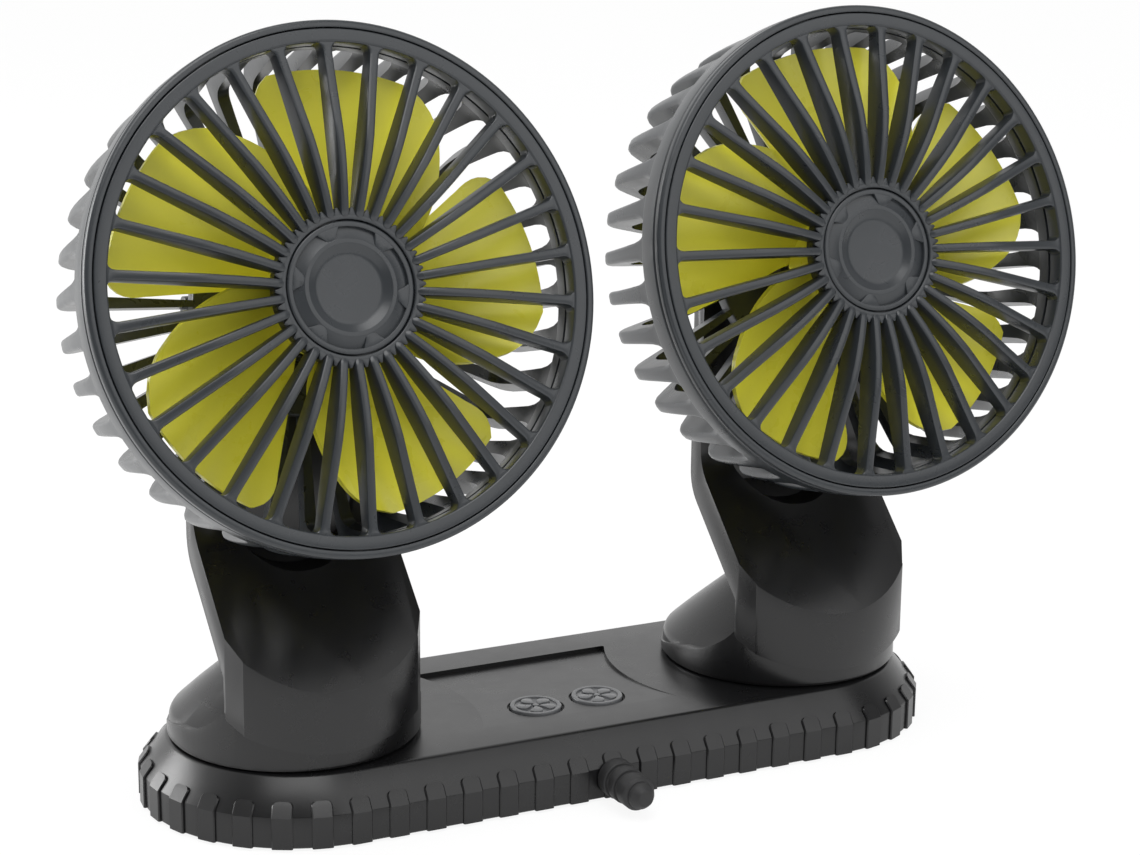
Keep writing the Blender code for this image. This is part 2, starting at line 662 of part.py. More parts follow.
def make_foot():
    """Round turntable foot: domed back, spine behind the neck and a scoop at each side."""
    foot = below_neck("pod_foot", FOOT_RADIUS, FOOT_LOW_Z, GAP)
    far = 2 * FOOT_RADIUS
    scoop = arc((SCOOP_Y, SCOOP_Z), SCOOP_RADIUS, math.pi, 3 * math.pi / 2, SMALL_STEPS)
    scoop += [(SCOOP_END_Y, FOOT_RIM_Z), (far, FOOT_RIM_Z), (far, 2 * CUT_TOP_Z),
              (SCOOP_Y - SCOOP_RADIUS, 2 * CUT_TOP_Z)]
    spine = [(SPINE_TOP_Y, neck_back_z(SPINE_TOP_Y) - GAP), (SPINE_END_Y, SPINE_END_Z),
             (far, SPINE_END_Z), (far, 2 * CUT_TOP_Z), (SPINE_TOP_Y, 2 * CUT_TOP_Z)]
    foot = cut(
        foot, plate("scoop_left", scoop, -far, -SPINE_HALF_WIDTH, IN_YZ),
        plate("scoop_right", scoop, SPINE_HALF_WIDTH, far, IN_YZ),
        plate("spine", spine, -SPINE_HALF_WIDTH - SINK, SPINE_HALF_WIDTH + SINK, IN_YZ))
    groove_radius = STUB_RADIUS - CLIP_GROOVE_DEPTH
    dome = turned("dome", [
        (0, FOOT_CROWN_Z), (FOOT_DOME_RADIUS, FOOT_DOME_Z), (FOOT_RADIUS - SINK, FOOT_RIM_Z + SINK / 2),
        (FOOT_RADIUS - SINK, FOOT_LOW_Z + SINK), (0, FOOT_LOW_Z + SINK)], FOOT_STEPS)
    stub = turned("stub", [
        (0, FOOT_LOW_Z + SINK), (STUB_RADIUS, FOOT_LOW_Z + SINK), (STUB_RADIUS, CLIP_TOP_Z + GAP),
        (groove_radius, CLIP_TOP_Z + GAP), (groove_radius, CLIP_LOW_Z - GAP),
        (STUB_RADIUS, CLIP_LOW_Z - GAP), (STUB_RADIUS, STUB_LOW_Z), (0, STUB_LOW_Z)], ROUND_STEPS)
    foot = join(foot, dome, stub)
    hollow = turned("hollow", [
        (FOOT_HOLLOW_INNER, FOOT_HOLLOW_TOP_Z), (FOOT_HOLLOW_OUTER, FOOT_HOLLOW_TOP_Z),
        (FOOT_HOLLOW_OUTER, FOOT_LOW_Z - OVERRUN), (FOOT_HOLLOW_INNER, FOOT_LOW_Z - OVERRUN)],
        ROUND_STEPS, closed=True)
    foot = cut(foot, hollow, cylinder(
        "bore", STUB_BORE_RADIUS, STUB_LOW_Z - OVERRUN, STUB_BORE_TOP_Z, steps=SMALL_STEPS))
    for x in (-YOKE_SCREW_X, YOKE_SCREW_X):
        place = (x, YOKE_SCREW_Y)
        foot = cut(foot, cylinder(
            "seat", YOKE_SCREW_HEAD_RADIUS + GAP, FOOT_LOW_Z - OVERRUN, YOKE_SCREW_HEAD_Z, place,
            SMALL_STEPS))
        foot = cut(foot, cylinder(
            "hole", YOKE_SCREW_RADIUS + GAP, FOOT_LOW_Z, CUT_TOP_Z, place, SMALL_STEPS))
    return foot


def make_foot_clip():
    """Retaining ring in the stub's groove, open at one side like a snap ring."""
    inner = STUB_RADIUS - CLIP_GROOVE_DEPTH + GAP
    ring = turned("foot_clip", [
        (inner, CLIP_TOP_Z), (CLIP_RADIUS, CLIP_TOP_Z), (CLIP_RADIUS, CLIP_LOW_Z),
        (inner, CLIP_LOW_Z)], ROUND_STEPS, closed=True)
    half = CLIP_GROOVE_DEPTH
    return cut(ring, box("opening", (-half, 0, CLIP_LOW_Z - OVERRUN),
                         (half, 2 * CLIP_RADIUS, CLIP_TOP_Z + OVERRUN)))


def neck_screw_top_z():
    """Give the height of a yoke screw's tip, under the neck's face."""
    return neck_back_z(YOKE_SCREW_Y) + NECK_THICK / math.sin(NECK_LEAN) - YOKE_SCREW_TOP_COVER


def round_slot(half_width, floor_z, corner):
    """Outline a slot that is open above and round at the foot of both sides."""
    top_z = 2 * PIVOT_Z
    right = arc((half_width - corner, floor_z + corner), corner, -math.pi / 2, 0, SMALL_STEPS // 2)
    return right + [(half_width, top_z), (-half_width, top_z)] + [(-x, z) for x, z in reversed(right)]


def make_yoke():
    """Front wall, slanted neck with its recess and the two arms, cut from one side profile."""
    thick_z = NECK_THICK / math.sin(NECK_LEAN)
    front = -NECK_RADIUS - OVERRUN
    skirt_run = NECK_RADIUS - math.sqrt(NECK_RADIUS ** 2 - NECK_HALF_WIDTH ** 2)
    skirt_slope = (NECK_SKIRT_SIDE_Z - NECK_SKIRT_FRONT_Z) / skirt_run

    def skirt_z(y):
        """Height of the front wall's lower edge."""
        return NECK_SKIRT_FRONT_Z + skirt_slope * (y + NECK_RADIUS)

    arm_front = ARM_FRONT_Y - POD_Y
    arm_back = arm_front + ARM_THICK
    outline = [
        (front, neck_back_z(front) + thick_z), (arm_front, neck_back_z(arm_front) + thick_z),
        (arm_front, ARM_TOP_Z), (arm_back, ARM_TOP_Z), (arm_back, neck_back_z(arm_back)),
        (NECK_SKIRT_INNER_Y, neck_back_z(NECK_SKIRT_INNER_Y)),
        (NECK_SKIRT_INNER_Y, skirt_z(NECK_SKIRT_INNER_Y)), (front, skirt_z(front))]
    yoke = plate("neck_yoke", outline, -NECK_HALF_WIDTH, NECK_HALF_WIDTH, IN_YZ)
    yoke = combine(yoke, cylinder(
        "front_round", NECK_RADIUS, 0, 2 * PIVOT_Z, steps=2 * FOOT_STEPS), "INTERSECT")
    narrow = NECK_HALF_WIDTH - NECK_FACET_WIDTH
    wide = NECK_HALF_WIDTH + OVERRUN
    slant = (NECK_FACET_BACK_Y - NECK_FACET_FRONT_Y) / NECK_FACET_WIDTH
    half = [(narrow, 2 * front), (narrow, NECK_FACET_FRONT_Y),
            (wide, NECK_FACET_BACK_Y + slant * OVERRUN), (wide, -2 * front)]
    yoke = combine(yoke, plate(
        "facets", half + [(-x, y) for x, y in reversed(half)], 0, 2 * PIVOT_Z), "INTERSECT")
    yoke = cut(yoke, below_neck("foot_room", FOOT_RADIUS + GAP, 0, 0))
    recess = round_slot(RECESS_HALF_WIDTH, RECESS_FLOOR_Z, RECESS_CORNER)
    slot = round_slot(SLOT_HALF_WIDTH, SLOT_FLOOR_Z, SLOT_CORNER)
    wall_front = arm_back - RECESS_WALL
    yoke = cut(yoke, plate("recess", recess, -wall_front, NECK_RADIUS + OVERRUN, IN_XZ),
               plate("slot", slot, -NECK_RADIUS, NECK_RADIUS, IN_XZ))
    bore = cylinder("pin_bore", BORE_RADIUS, -NECK_RADIUS, NECK_RADIUS)
    bore.data.transform(pivot_place() @ Matrix.Rotation(math.pi / 2, 4, "Y"))
    yoke = cut(yoke, bore)
    for x in (-YOKE_SCREW_X, YOKE_SCREW_X):
        yoke = cut(yoke, cylinder(
            "hole", YOKE_SCREW_RADIUS + GAP, 0, neck_screw_top_z() + GAP, (x, YOKE_SCREW_Y), SMALL_STEPS))
    return yoke


def pivot_place():
    """Place of the tilt pivot in a pod's own frame."""
    return Matrix.Translation((0, PIVOT_Y - POD_Y, PIVOT_Z))


def make_yoke_screw(x):
    """Screw from the foot's underside up into the neck."""
    seat_z = YOKE_SCREW_HEAD_Z - GAP
    tip_z = neck_screw_top_z()
    head_z = seat_z - YOKE_SCREW_HEAD_HEIGHT
    screw = turned("yoke_screw", [
        (0, tip_z), (YOKE_SCREW_RADIUS, tip_z), (YOKE_SCREW_RADIUS, seat_z),
        (YOKE_SCREW_HEAD_RADIUS, seat_z), (YOKE_SCREW_HEAD_RADIUS, head_z), (0, head_z)], SMALL_STEPS)
    screw.data.transform(Matrix.Translation((x, YOKE_SCREW_Y, 0)))
    return screw


def make_tilt_pin():
    """Steel pin through both arms and the knuckle."""
    half = NECK_HALF_WIDTH - PIN_INSET
    pin = cylinder("tilt_pin", PIVOT_PIN_RADIUS, -half, half, steps=ROUND_STEPS)
    pin.data.transform(pivot_place() @ Matrix.Rotation(math.pi / 2, 4, "Y"))
    return pin


def make_tilt_washer(side):
    """Friction washer between the knuckle and an arm."""
    near = KNUCKLE_HALF_WIDTH + GAP
    ring = turned("tilt_washer", [
        (BORE_RADIUS, near + WASHER_THICK), (WASHER_RADIUS, near + WASHER_THICK),
        (WASHER_RADIUS, near), (BORE_RADIUS, near)], ROUND_STEPS, closed=True)
    ring.data.transform(pivot_place() @ Matrix.Rotation(side * math.pi / 2, 4, "Y"))
    return ring


def ahead(depth):
    """Turn a depth behind the ring's front plane into a height above the pivot."""
    return PIVOT_DEPTH - depth


def make_rear_cage():
    """Outer ring and band with the ribs that run back and in to the rear hub."""
    ring = turned("rear_cage", [
        (RING_RADIUS - RING_FACE_WIDTH, ahead(0)), (RING_RADIUS - RING_ROUND, ahead(0)),
        (RING_RADIUS, ahead(RING_ROUND)), (BAND_BACK_RADIUS, ahead(BAND_DEPTH)),
        (BAND_INNER_RADIUS, ahead(BAND_DEPTH)), (BAND_INNER_RADIUS, ahead(LEDGE_DEPTH)),
        (RING_RADIUS - RING_FACE_WIDTH, ahead(LEDGE_DEPTH))], RING_STEPS, closed=True)
    outer = BAND_BACK_RADIUS - RIB_ROOT_INSET
    inner = BAND_INNER_RADIUS + RIB_ROOT_INSET
    root = BAND_DEPTH - SINK
    hub_radius = REAR_RING_RADIUS - REAR_RING_LIP / 2
    line = [
        (outer, root, RIB_ROOT_WIDTH), (outer, RIB_FLARE_DEPTH, RIB_FLARE_WIDTH),
        (RIB_NOSE_RADIUS, RIB_NOSE_DEPTH, RIB_NOSE_WIDTH),
        (RIB_TURN_RADIUS, RIB_TURN_DEPTH, RIB_NOSE_WIDTH),
        (RIB_HEEL_RADIUS, RIB_HEEL_DEPTH, RIB_NOSE_WIDTH),
        (hub_radius, HUB_BACK_DEPTH - GAP, RIB_HUB_WIDTH),
        (hub_radius, HUB_BACK_DEPTH - RIB_BACK_THICK, RIB_HUB_WIDTH),
        (RIB_ELBOW_RADIUS, RIB_HEEL_DEPTH - RIB_BACK_THICK, RIB_NOSE_WIDTH),
        (RIB_WAIST_RADIUS, RIB_WAIST_DEPTH, RIB_NOSE_WIDTH),
        (inner, RIB_FLARE_DEPTH, RIB_FLARE_WIDTH), (inner, root, RIB_ROOT_WIDTH)]
    rib = loft("rib", [
        [(radius, side * width / 2, ahead(depth)) for radius, depth, width in line] for side in (-1, 1)])
    ribs = round_pattern(rib, RIB_COUNT, math.pi / RIB_COUNT)
    plate_top = ahead(REAR_PLATE_DEPTH - REAR_RING_THICK)
    lip = REAR_RING_RADIUS - REAR_RING_LIP
    hub = turned("rear_ring", [
        (REAR_RING_HOLE_RADIUS, plate_top), (REAR_RING_RADIUS, plate_top),
        (REAR_RING_RADIUS, ahead(HUB_BACK_DEPTH)), (lip, ahead(HUB_BACK_DEPTH)),
        (lip, ahead(REAR_PLATE_DEPTH)), (REAR_RING_HOLE_RADIUS, ahead(REAR_PLATE_DEPTH))],
        REAR_STEPS, closed=True)
    boss = cylinder("boss", COVER_BOSS_RADIUS, plate_top - SINK,
                    plate_top + COVER_SCREW_BITE, (COVER_SCREW_CIRCLE, 0), SMALL_STEPS)
    hub = join(hub, round_pattern(boss, COVER_SCREWS))
    pilot = cylinder("pilot", COVER_SCREW_RADIUS + GAP, ahead(REAR_PLATE_DEPTH) - OVERRUN,
                     plate_top + COVER_SCREW_BITE - 2 * GAP, (COVER_SCREW_CIRCLE, 0), SMALL_STEPS)
    hub = cut(hub, round_pattern(pilot, COVER_SCREWS))
    return join(ring, ribs, hub)


def make_front_grille(start):
    """Flat ring, domed spokes and the hub ring that holds the cap."""
    ring = turned("front_grille", [
        (GRILLE_INNER_RADIUS, ahead(0)), (GRILLE_RADIUS, ahead(0)),
        (GRILLE_RADIUS, ahead(GRILLE_THICK)), (GRILLE_INNER_RADIUS, ahead(GRILLE_THICK))],
        SPOKE_COUNT, closed=True)
    spoke = plate("spoke", [
        (GRILLE_INNER_RADIUS + SINK, ahead(SPOKE_FRONT_INSET)),
        (SPOKE_SHOULDER_RADIUS, ahead(-SPOKE_SHOULDER_RISE)),
        (SPOKE_CREST_OUTER_RADIUS, ahead(-SPOKE_CREST_RISE)),
        (SPOKE_CREST_INNER_RADIUS, ahead(-SPOKE_CREST_RISE)),
        (SPOKE_END_RADIUS, ahead(-SPOKE_END_RISE)),
        (SPOKE_END_RADIUS, ahead(SPOKE_END_DEPTH - SPOKE_END_RISE)),
        (SPOKE_CREST_INNER_RADIUS, ahead(SPOKE_CREST_DEPTH - SPOKE_CREST_RISE)),
        (SPOKE_CREST_OUTER_RADIUS, ahead(SPOKE_CREST_DEPTH - SPOKE_CREST_RISE)),
        (GRILLE_INNER_RADIUS + SINK, ahead(SPOKE_OUTER_DEPTH))],
        -SPOKE_OUTER_WIDTH / 2, SPOKE_OUTER_WIDTH / 2, IN_XZ)
    span = GRILLE_INNER_RADIUS - SPOKE_END_RADIUS
    for corner in spoke.data.vertices:
        share = max(0, (GRILLE_INNER_RADIUS - corner.co.x) / span)
        width = SPOKE_OUTER_WIDTH + (SPOKE_INNER_WIDTH - SPOKE_OUTER_WIDTH) * share
        corner.co.y = math.copysign(width / 2, corner.co.y)
    spokes = round_pattern(spoke, SPOKE_COUNT, start)
    hole = HUB_RING_RADIUS - HUB_RING_WIDTH
    seat_z = ahead(HUB_SEAT_DEPTH)
    floor_z = ahead(HUB_SEAT_DEPTH + HUB_FLOOR_THICK)
    hub = turned("hub_ring", [
        (0, seat_z), (hole, seat_z), (hole, ahead(-HUB_RISE)), (HUB_RING_RADIUS, ahead(-HUB_RISE)),
        (HUB_RING_RADIUS, floor_z), (0, floor_z)], SPOKE_COUNT)
    return join(ring, spokes, hub)


def make_hub_cap(start):
    """Round cap with a shallow dish and a ring of windows, pushed into the hub ring."""
    top_z = ahead(-CAP_RISE)
    low_z = ahead(HUB_SEAT_DEPTH - GAP)
    cap = turned("hub_cap", [
        (0, top_z - CAP_DISH_DEPTH), (CAP_DISH_RADIUS - CAP_DISH_DEPTH, top_z - CAP_DISH_DEPTH),
        (CAP_DISH_RADIUS, top_z), (CAP_RADIUS - CAP_ROUND, top_z), (CAP_RADIUS, top_z - CAP_ROUND),
        (CAP_RADIUS, low_z), (0, low_z)], CAP_STEPS)
    outline = arc((0, 0), CAP_WINDOW_OUTER, 0, CAP_WINDOW_SPAN, WINDOW_STEPS)
    outline += arc((0, 0), CAP_WINDOW_INNER, CAP_WINDOW_SPAN, 0, WINDOW_STEPS)
    window = plate("window", outline, top_z - CAP_WINDOW_DEPTH, top_z + OVERRUN)
    return cut(cap, round_pattern(window, CAP_WINDOWS, start))


def blade_point(across, along):
    """Place a point of a blade's middle surface from shares of its chord and its reach."""
    root = IMPELLER_HUB_RADIUS - IMPELLER_HUB_WALL / 2
    radius = root + (BLADE_TIP_RADIUS - root) * along
    span = BLADE_ROOT_SPAN + (BLADE_TIP_SPAN - BLADE_ROOT_SPAN) * along
    rise = BLADE_ROOT_RISE + (BLADE_TIP_RISE - BLADE_ROOT_RISE) * along
    round_share = max(0, (along - BLADE_TIP_SHARE) / (1 - BLADE_TIP_SHARE))
    keep = math.sqrt(1 - (1 - BLADE_TIP_SHARE) * round_share ** 3)
    turn = BLADE_SWEEP * along + span * across * keep
    return (radius * math.cos(turn), radius * math.sin(turn),
            ahead(BLADE_MID_DEPTH) - rise * across * keep)


def make_impeller(start):
    """Hub cup with five swept, twisted blades with round tips."""
    data = bmesh.new()
    bmesh.ops.create_grid(data, x_segments=BLADE_ACROSS, y_segments=BLADE_ALONG, size=0.5)
    for corner in data.verts:
        corner.co = blade_point(corner.co.x, corner.co.y + 0.5)
    mesh = bpy.data.meshes.new("blade")
    data.to_mesh(mesh)
    data.free()
    blade = scratch("blade", mesh)
    skin = blade.modifiers.new("skin", "SOLIDIFY")
    skin.thickness = BLADE_THICK
    skin.offset = 0
    blades = round_pattern(settle(blade), BLADE_COUNT, start)
    front = ahead(IMPELLER_FRONT_DEPTH)
    back = front - IMPELLER_HUB_LENGTH
    inner = IMPELLER_HUB_RADIUS - IMPELLER_HUB_WALL
    roof = front - IMPELLER_HUB_WALL
    boss_z = ahead(MOTOR_FRONT_DEPTH) + MOTOR_NOSE_HEIGHT + 2 * GAP
    hub = turned("impeller", [
        (0, front), (IMPELLER_HUB_RADIUS - IMPELLER_HUB_ROUND, front),
        (IMPELLER_HUB_RADIUS, front - IMPELLER_HUB_ROUND), (IMPELLER_HUB_RADIUS, back),
        (inner, back), (inner, roof), (IMPELLER_BOSS_RADIUS, roof), (IMPELLER_BOSS_RADIUS, boss_z),
        (SHAFT_RADIUS + GAP, boss_z), (SHAFT_RADIUS + GAP, roof), (0, roof)], ROUND_STEPS)
    return join(hub, blades)


def make_motor():
    """Round motor with a nose and a bore for its shaft."""
    front = ahead(MOTOR_FRONT_DEPTH)
    bore = SHAFT_RADIUS + GAP
    return turned("motor_can", [
        (0, front - SHAFT_IN_MOTOR - GAP), (bore, front - SHAFT_IN_MOTOR - GAP),
        (bore, front + MOTOR_NOSE_HEIGHT), (MOTOR_NOSE_RADIUS, front + MOTOR_NOSE_HEIGHT),
        (MOTOR_NOSE_RADIUS, front), (MOTOR_RADIUS, front), (MOTOR_RADIUS, ahead(MOTOR_BACK_DEPTH)),
        (0, ahead(MOTOR_BACK_DEPTH))], ROUND_STEPS)


def make_shaft():
    """Motor shaft, from inside the motor up into the impeller's boss."""
    front = ahead(MOTOR_FRONT_DEPTH)
    return cylinder("motor_shaft", SHAFT_RADIUS, front - SHAFT_IN_MOTOR,
                    ahead(IMPELLER_FRONT_DEPTH) - IMPELLER_HUB_WALL - GAP, steps=SMALL_STEPS)


def make_motor_cover():
    """Rear hub with a collar round the motor and the knuckle that takes the tilt pin."""
    back = ahead(HUB_BACK_DEPTH)
    inner = back + COVER_WALL
    collar = REAR_RING_HOLE_RADIUS - GAP
    top = inner + COLLAR_LENGTH
    cover = turned("motor_cover", [
        (0, inner), (MOTOR_RADIUS + GAP, inner), (MOTOR_RADIUS + GAP, top), (collar, top),
        (collar, inner), (COVER_RADIUS, inner), (COVER_RADIUS, back), (0, back)], REAR_STEPS)
    web = box("web", (-KNUCKLE_HALF_WIDTH, -KNUCKLE_WEB_HALF_HEIGHT, 0),
              (KNUCKLE_HALF_WIDTH, KNUCKLE_WEB_HALF_HEIGHT, back + SINK))
    barrel = cylinder("barrel", KNUCKLE_RADIUS, -KNUCKLE_HALF_WIDTH - KNUCKLE_END_STEP,
                      KNUCKLE_HALF_WIDTH + KNUCKLE_END_STEP)
    barrel.data.transform(Matrix.Rotation(math.pi / 2, 4, "Y"))
    cover = join(cover, join(web, barrel))
    gap = box("knuckle_gap", (-KNUCKLE_SLOT_HALF_WIDTH, -2 * KNUCKLE_RADIUS, -2 * KNUCKLE_RADIUS),
              (KNUCKLE_SLOT_HALF_WIDTH, 2 * KNUCKLE_RADIUS, back - COVER_WALL / 2))
    bore = cylinder("bore", BORE_RADIUS, -NECK_RADIUS, NECK_RADIUS)
    bore.data.transform(Matrix.Rotation(math.pi / 2, 4, "Y"))
    hole = cylinder("hole", COVER_SCREW_RADIUS + GAP, back - OVERRUN, inner + OVERRUN,
                    (COVER_SCREW_CIRCLE, 0), SMALL_STEPS)
    seat = cylinder("seat", COVER_SCREW_HEAD_RADIUS + GAP, back - OVERRUN,
                    back + COVER_SCREW_HEAD_HEIGHT + GAP, (COVER_SCREW_CIRCLE, 0), SMALL_STEPS)
    return cut(cover, gap, bore, round_pattern(hole, COVER_SCREWS), round_pattern(seat, COVER_SCREWS))


def make_cover_screw(index):
    """Screw through the motor cover into the cage's rear ring."""
    back = ahead(HUB_BACK_DEPTH)
    seat_z = back + COVER_SCREW_HEAD_HEIGHT
    tip_z = ahead(REAR_PLATE_DEPTH - REAR_RING_THICK) + COVER_SCREW_BITE - 3 * GAP
    screw = turned("cover_screw", [
        (0, tip_z), (COVER_SCREW_RADIUS, tip_z), (COVER_SCREW_RADIUS, seat_z),
        (COVER_SCREW_HEAD_RADIUS, seat_z), (COVER_SCREW_HEAD_RADIUS, back), (0, back)], SMALL_STEPS)
    turn = Matrix.Rotation(index * math.tau / COVER_SCREWS, 4, "Z")
    screw.data.transform(turn @ Matrix.Translation((COVER_SCREW_CIRCLE, 0, 0)))
    return screw


def finish(item, name, material, group, parent=None):
    """Name a piece, give it its material and hang it on its joint's empty."""
    item.name = name
    item.data.name = name
    item.data.materials.clear()
    item.data.materials.append(material)
    item.data.shade_smooth()
    item.data.set_sharp_from_angle(angle=math.radians(30))
    bpy.context.scene.collection.objects.unlink(item)
    group.objects.link(item)
    item.parent = parent
    return item


def joint_empty(name, group, place, parent=None):
    """Make an empty on a joint's axis."""
    item = bpy.data.objects.new(name, None)
    item.empty_display_size = WASHER_RADIUS
    group.objects.link(item)
    item.parent = parent
    item.matrix_basis = place
    return item


def build_base(group, paint):
    """Make the base and what it holds."""
    finish(make_base_shell(), "base_shell", paint["black"], group)
    finish(make_base_plate(), "base_plate", paint["black"], group)
    finish(make_base_mat(), "base_mat", paint["rubber"], group)
    for index, place in enumerate(base_screw_places(), start=1):
        finish(make_base_screw(place), f"base_screw_{index}", paint["steel"], group)
    finish(make_control_board(), "control_board", paint["board"], group)
    for label, side in SIDES.items():
        finish(make_switch(side * BUTTON_X), f"switch_{label}", paint["black"], group)
        finish(make_button(side * BUTTON_X), f"speed_button_{label}", paint["button"], group)
    finish(make_cord_boot(), "cord_boot", paint["rubber"], group)


def build_pod(label, side, group, paint):
    """Make one foot, its yoke and the pin, and return the empty that turns."""
    turn = joint_empty(f"turn_{label}", group, Matrix.Translation((side * POD_X, POD_Y, 0)))
    finish(make_foot(), f"pod_foot_{label}", paint["black"], group, turn)
    finish(make_foot_clip(), f"foot_clip_{label}", paint["steel"], group, turn)
    finish(make_yoke(), f"neck_yoke_{label}", paint["black"], group, turn)
    finish(make_yoke_screw(-YOKE_SCREW_X), f"yoke_screw_{label}_a", paint["steel"], group, turn)
    finish(make_yoke_screw(YOKE_SCREW_X), f"yoke_screw_{label}_b", paint["steel"], group, turn)
    finish(make_tilt_pin(), f"tilt_pin_{label}", paint["steel"], group, turn)
    finish(make_tilt_washer(-1), f"tilt_washer_{label}_a", paint["rubber"], group, turn)
    finish(make_tilt_washer(1), f"tilt_washer_{label}_b", paint["rubber"], group, turn)
    return turn


def build_head(label, turn, group, paint):
    """Make one fan head about its tilt pivot, with its own +Z along the wind."""
    lean = Matrix.Rotation(math.pi / 2 - HEAD_TILT[label], 4, "X")
    tilt = joint_empty(f"tilt_{label}", group, pivot_place() @ lean, turn)
    spin = joint_empty(f"spin_{label}", group, Matrix.Identity(4), tilt)
    finish(make_rear_cage(), f"rear_cage_{label}", paint["grey"], group, tilt)
    finish(make_front_grille(SPOKE_START[label]), f"front_grille_{label}", paint["grey"], group, tilt)
    finish(make_hub_cap(CAP_WINDOW_START[label]), f"hub_cap_{label}", paint["grey"], group, tilt)
    finish(make_motor_cover(), f"motor_cover_{label}", paint["black"], group, tilt)
    finish(make_motor(), f"motor_can_{label}", paint["steel"], group, tilt)
    for index in range(COVER_SCREWS):
        finish(make_cover_screw(index), f"cover_screw_{label}_{index + 1}", paint["steel"], group, tilt)
    finish(make_impeller(BLADE_START[label]), f"impeller_{label}", paint["yellow"], group, spin)
    finish(make_shaft(), f"motor_shaft_{label}", paint["steel"], group, spin)


def main():
    """Build the whole fan."""
    clear_scene()
    group = new_collection("dual_head_fan")
    paint = {
        "black": new_material("black_plastic", (0.012, 0.012, 0.013), 0.45),
        "grey": new_material("slate_plastic", (0.07, 0.074, 0.08), 0.5),
        "yellow": new_material("blade_plastic", (0.45, 0.44, 0.045), 0.4),
        "button": new_material("button_plastic", (0.03, 0.03, 0.032), 0.4),
        "rubber": new_material("black_rubber", (0.01, 0.01, 0.01), 0.8),
        "board": new_material("board_green", (0.02, 0.12, 0.05), 0.5),
        "steel": new_material("steel", (0.55, 0.55, 0.56), 0.35, 1.0)}
    build_base(group, paint)
    for label, side in SIDES.items():
        turn = build_pod(label, side, group, paint)
        build_head(label, turn, group, paint)
    bpy.context.view_layer.update()


main()
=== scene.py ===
"""Fan with two heads on one long base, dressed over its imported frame.

Lengths are in metres, +Z is up and the fans blow towards -Y. Each sub-assembly is a class
that holds its sizes, builds its meshes in place and dresses them in a finish of its own.
"""

import json
import logging
import math
from collections.abc import Iterable, Sequence
from dataclasses import dataclass, field
from enum import Enum
from typing import Any

import bmesh
import bpy
from mathutils import Matrix, Vector


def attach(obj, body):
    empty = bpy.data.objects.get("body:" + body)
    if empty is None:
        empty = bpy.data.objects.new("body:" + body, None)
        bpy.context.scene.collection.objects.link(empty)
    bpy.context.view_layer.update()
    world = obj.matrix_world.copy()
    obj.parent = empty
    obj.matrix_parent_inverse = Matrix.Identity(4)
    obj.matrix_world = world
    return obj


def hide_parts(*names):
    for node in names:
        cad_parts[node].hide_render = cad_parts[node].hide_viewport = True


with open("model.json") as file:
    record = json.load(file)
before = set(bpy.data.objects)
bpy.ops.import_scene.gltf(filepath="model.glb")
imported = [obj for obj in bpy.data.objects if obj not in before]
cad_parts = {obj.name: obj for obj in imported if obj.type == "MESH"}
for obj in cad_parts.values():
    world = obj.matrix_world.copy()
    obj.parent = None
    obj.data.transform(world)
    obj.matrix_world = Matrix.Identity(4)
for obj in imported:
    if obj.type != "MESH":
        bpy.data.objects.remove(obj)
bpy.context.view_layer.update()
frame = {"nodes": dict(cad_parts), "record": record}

LOG = logging.getLogger("fan")

Point = tuple[float, float]
Ring = Sequence[tuple[float, float, float]]

# Planes for an outline: YZ with +X across it, and XZ with -Y across it
IN_YZ = Matrix(((0, 0, 1), (1, 0, 0), (0, 1, 0))).to_4x4()
IN_XZ = Matrix(((1, 0, 0), (0, 0, -1), (0, 1, 0))).to_4x4()

# How far cutting tools reach: past a face, to every side of a piece, and over its top
CLEAR = 0.002
FAR = 0.08
HIGH = 0.25

SMOOTH_BELOW = math.radians(32)
WHITE = (1.0, 1.0, 1.0, 1.0)


def linear(red: float, green: float, blue: float) -> tuple[float, float, float]:
    """Turn a colour of 0 to 255 per channel into linear light.

    Args:
        red: Red as a screen shows it.
        green: Green as a screen shows it.
        blue: Blue as a screen shows it.

    Returns:
        The three channels in linear light.
    """
    def channel(value: float) -> float:
        """Turn one channel into linear light."""
        share = value / 255
        return share / 12.92 if share <= 0.04045 else ((share + 0.055) / 1.055) ** 2.4

    return channel(red), channel(green), channel(blue)


# Node graphs


class Wire:
    """An output socket that takes part in sums: each operator adds a Math node."""

    def __init__(self, graph: "Graph", socket: bpy.types.NodeSocket) -> None:
        """Keep the socket and the graph that new nodes go into."""
        self.graph = graph
        self.socket = socket

    def _sum(self, operation: str, first: Any, second: Any) -> "Wire":
        """Add a Math node.

        Args:
            operation: The node's operation.
            first: Wire or number.
            second: Wire or number.

        Returns:
            The node's result.
        """
        return self.graph.add("ShaderNodeMath", {"operation": operation}, {0: first, 1: second})

    def __add__(self, other: Any) -> "Wire":
        """Add."""
        return self._sum("ADD", self, other)

    def __radd__(self, other: Any) -> "Wire":
        """Add, from the right."""
        return self._sum("ADD", other, self)

    def __sub__(self, other: Any) -> "Wire":
        """Subtract."""
        return self._sum("SUBTRACT", self, other)

    def __rsub__(self, other: Any) -> "Wire":
        """Subtract from a number."""
        return self._sum("SUBTRACT", other, self)

    def __mul__(self, other: Any) -> "Wire":
        """Multiply."""
        return self._sum("MULTIPLY", self, other)

    def __rmul__(self, other: Any) -> "Wire":
        """Multiply, from the right."""
        return self._sum("MULTIPLY", other, self)

    def __truediv__(self, other: Any) -> "Wire":
        """Divide."""
        return self._sum("DIVIDE", self, other)

    def above(self, level: float) -> "Wire":
        """Give 1 where the value is above a level, and else 0."""
        return self._sum("GREATER_THAN", self, level)


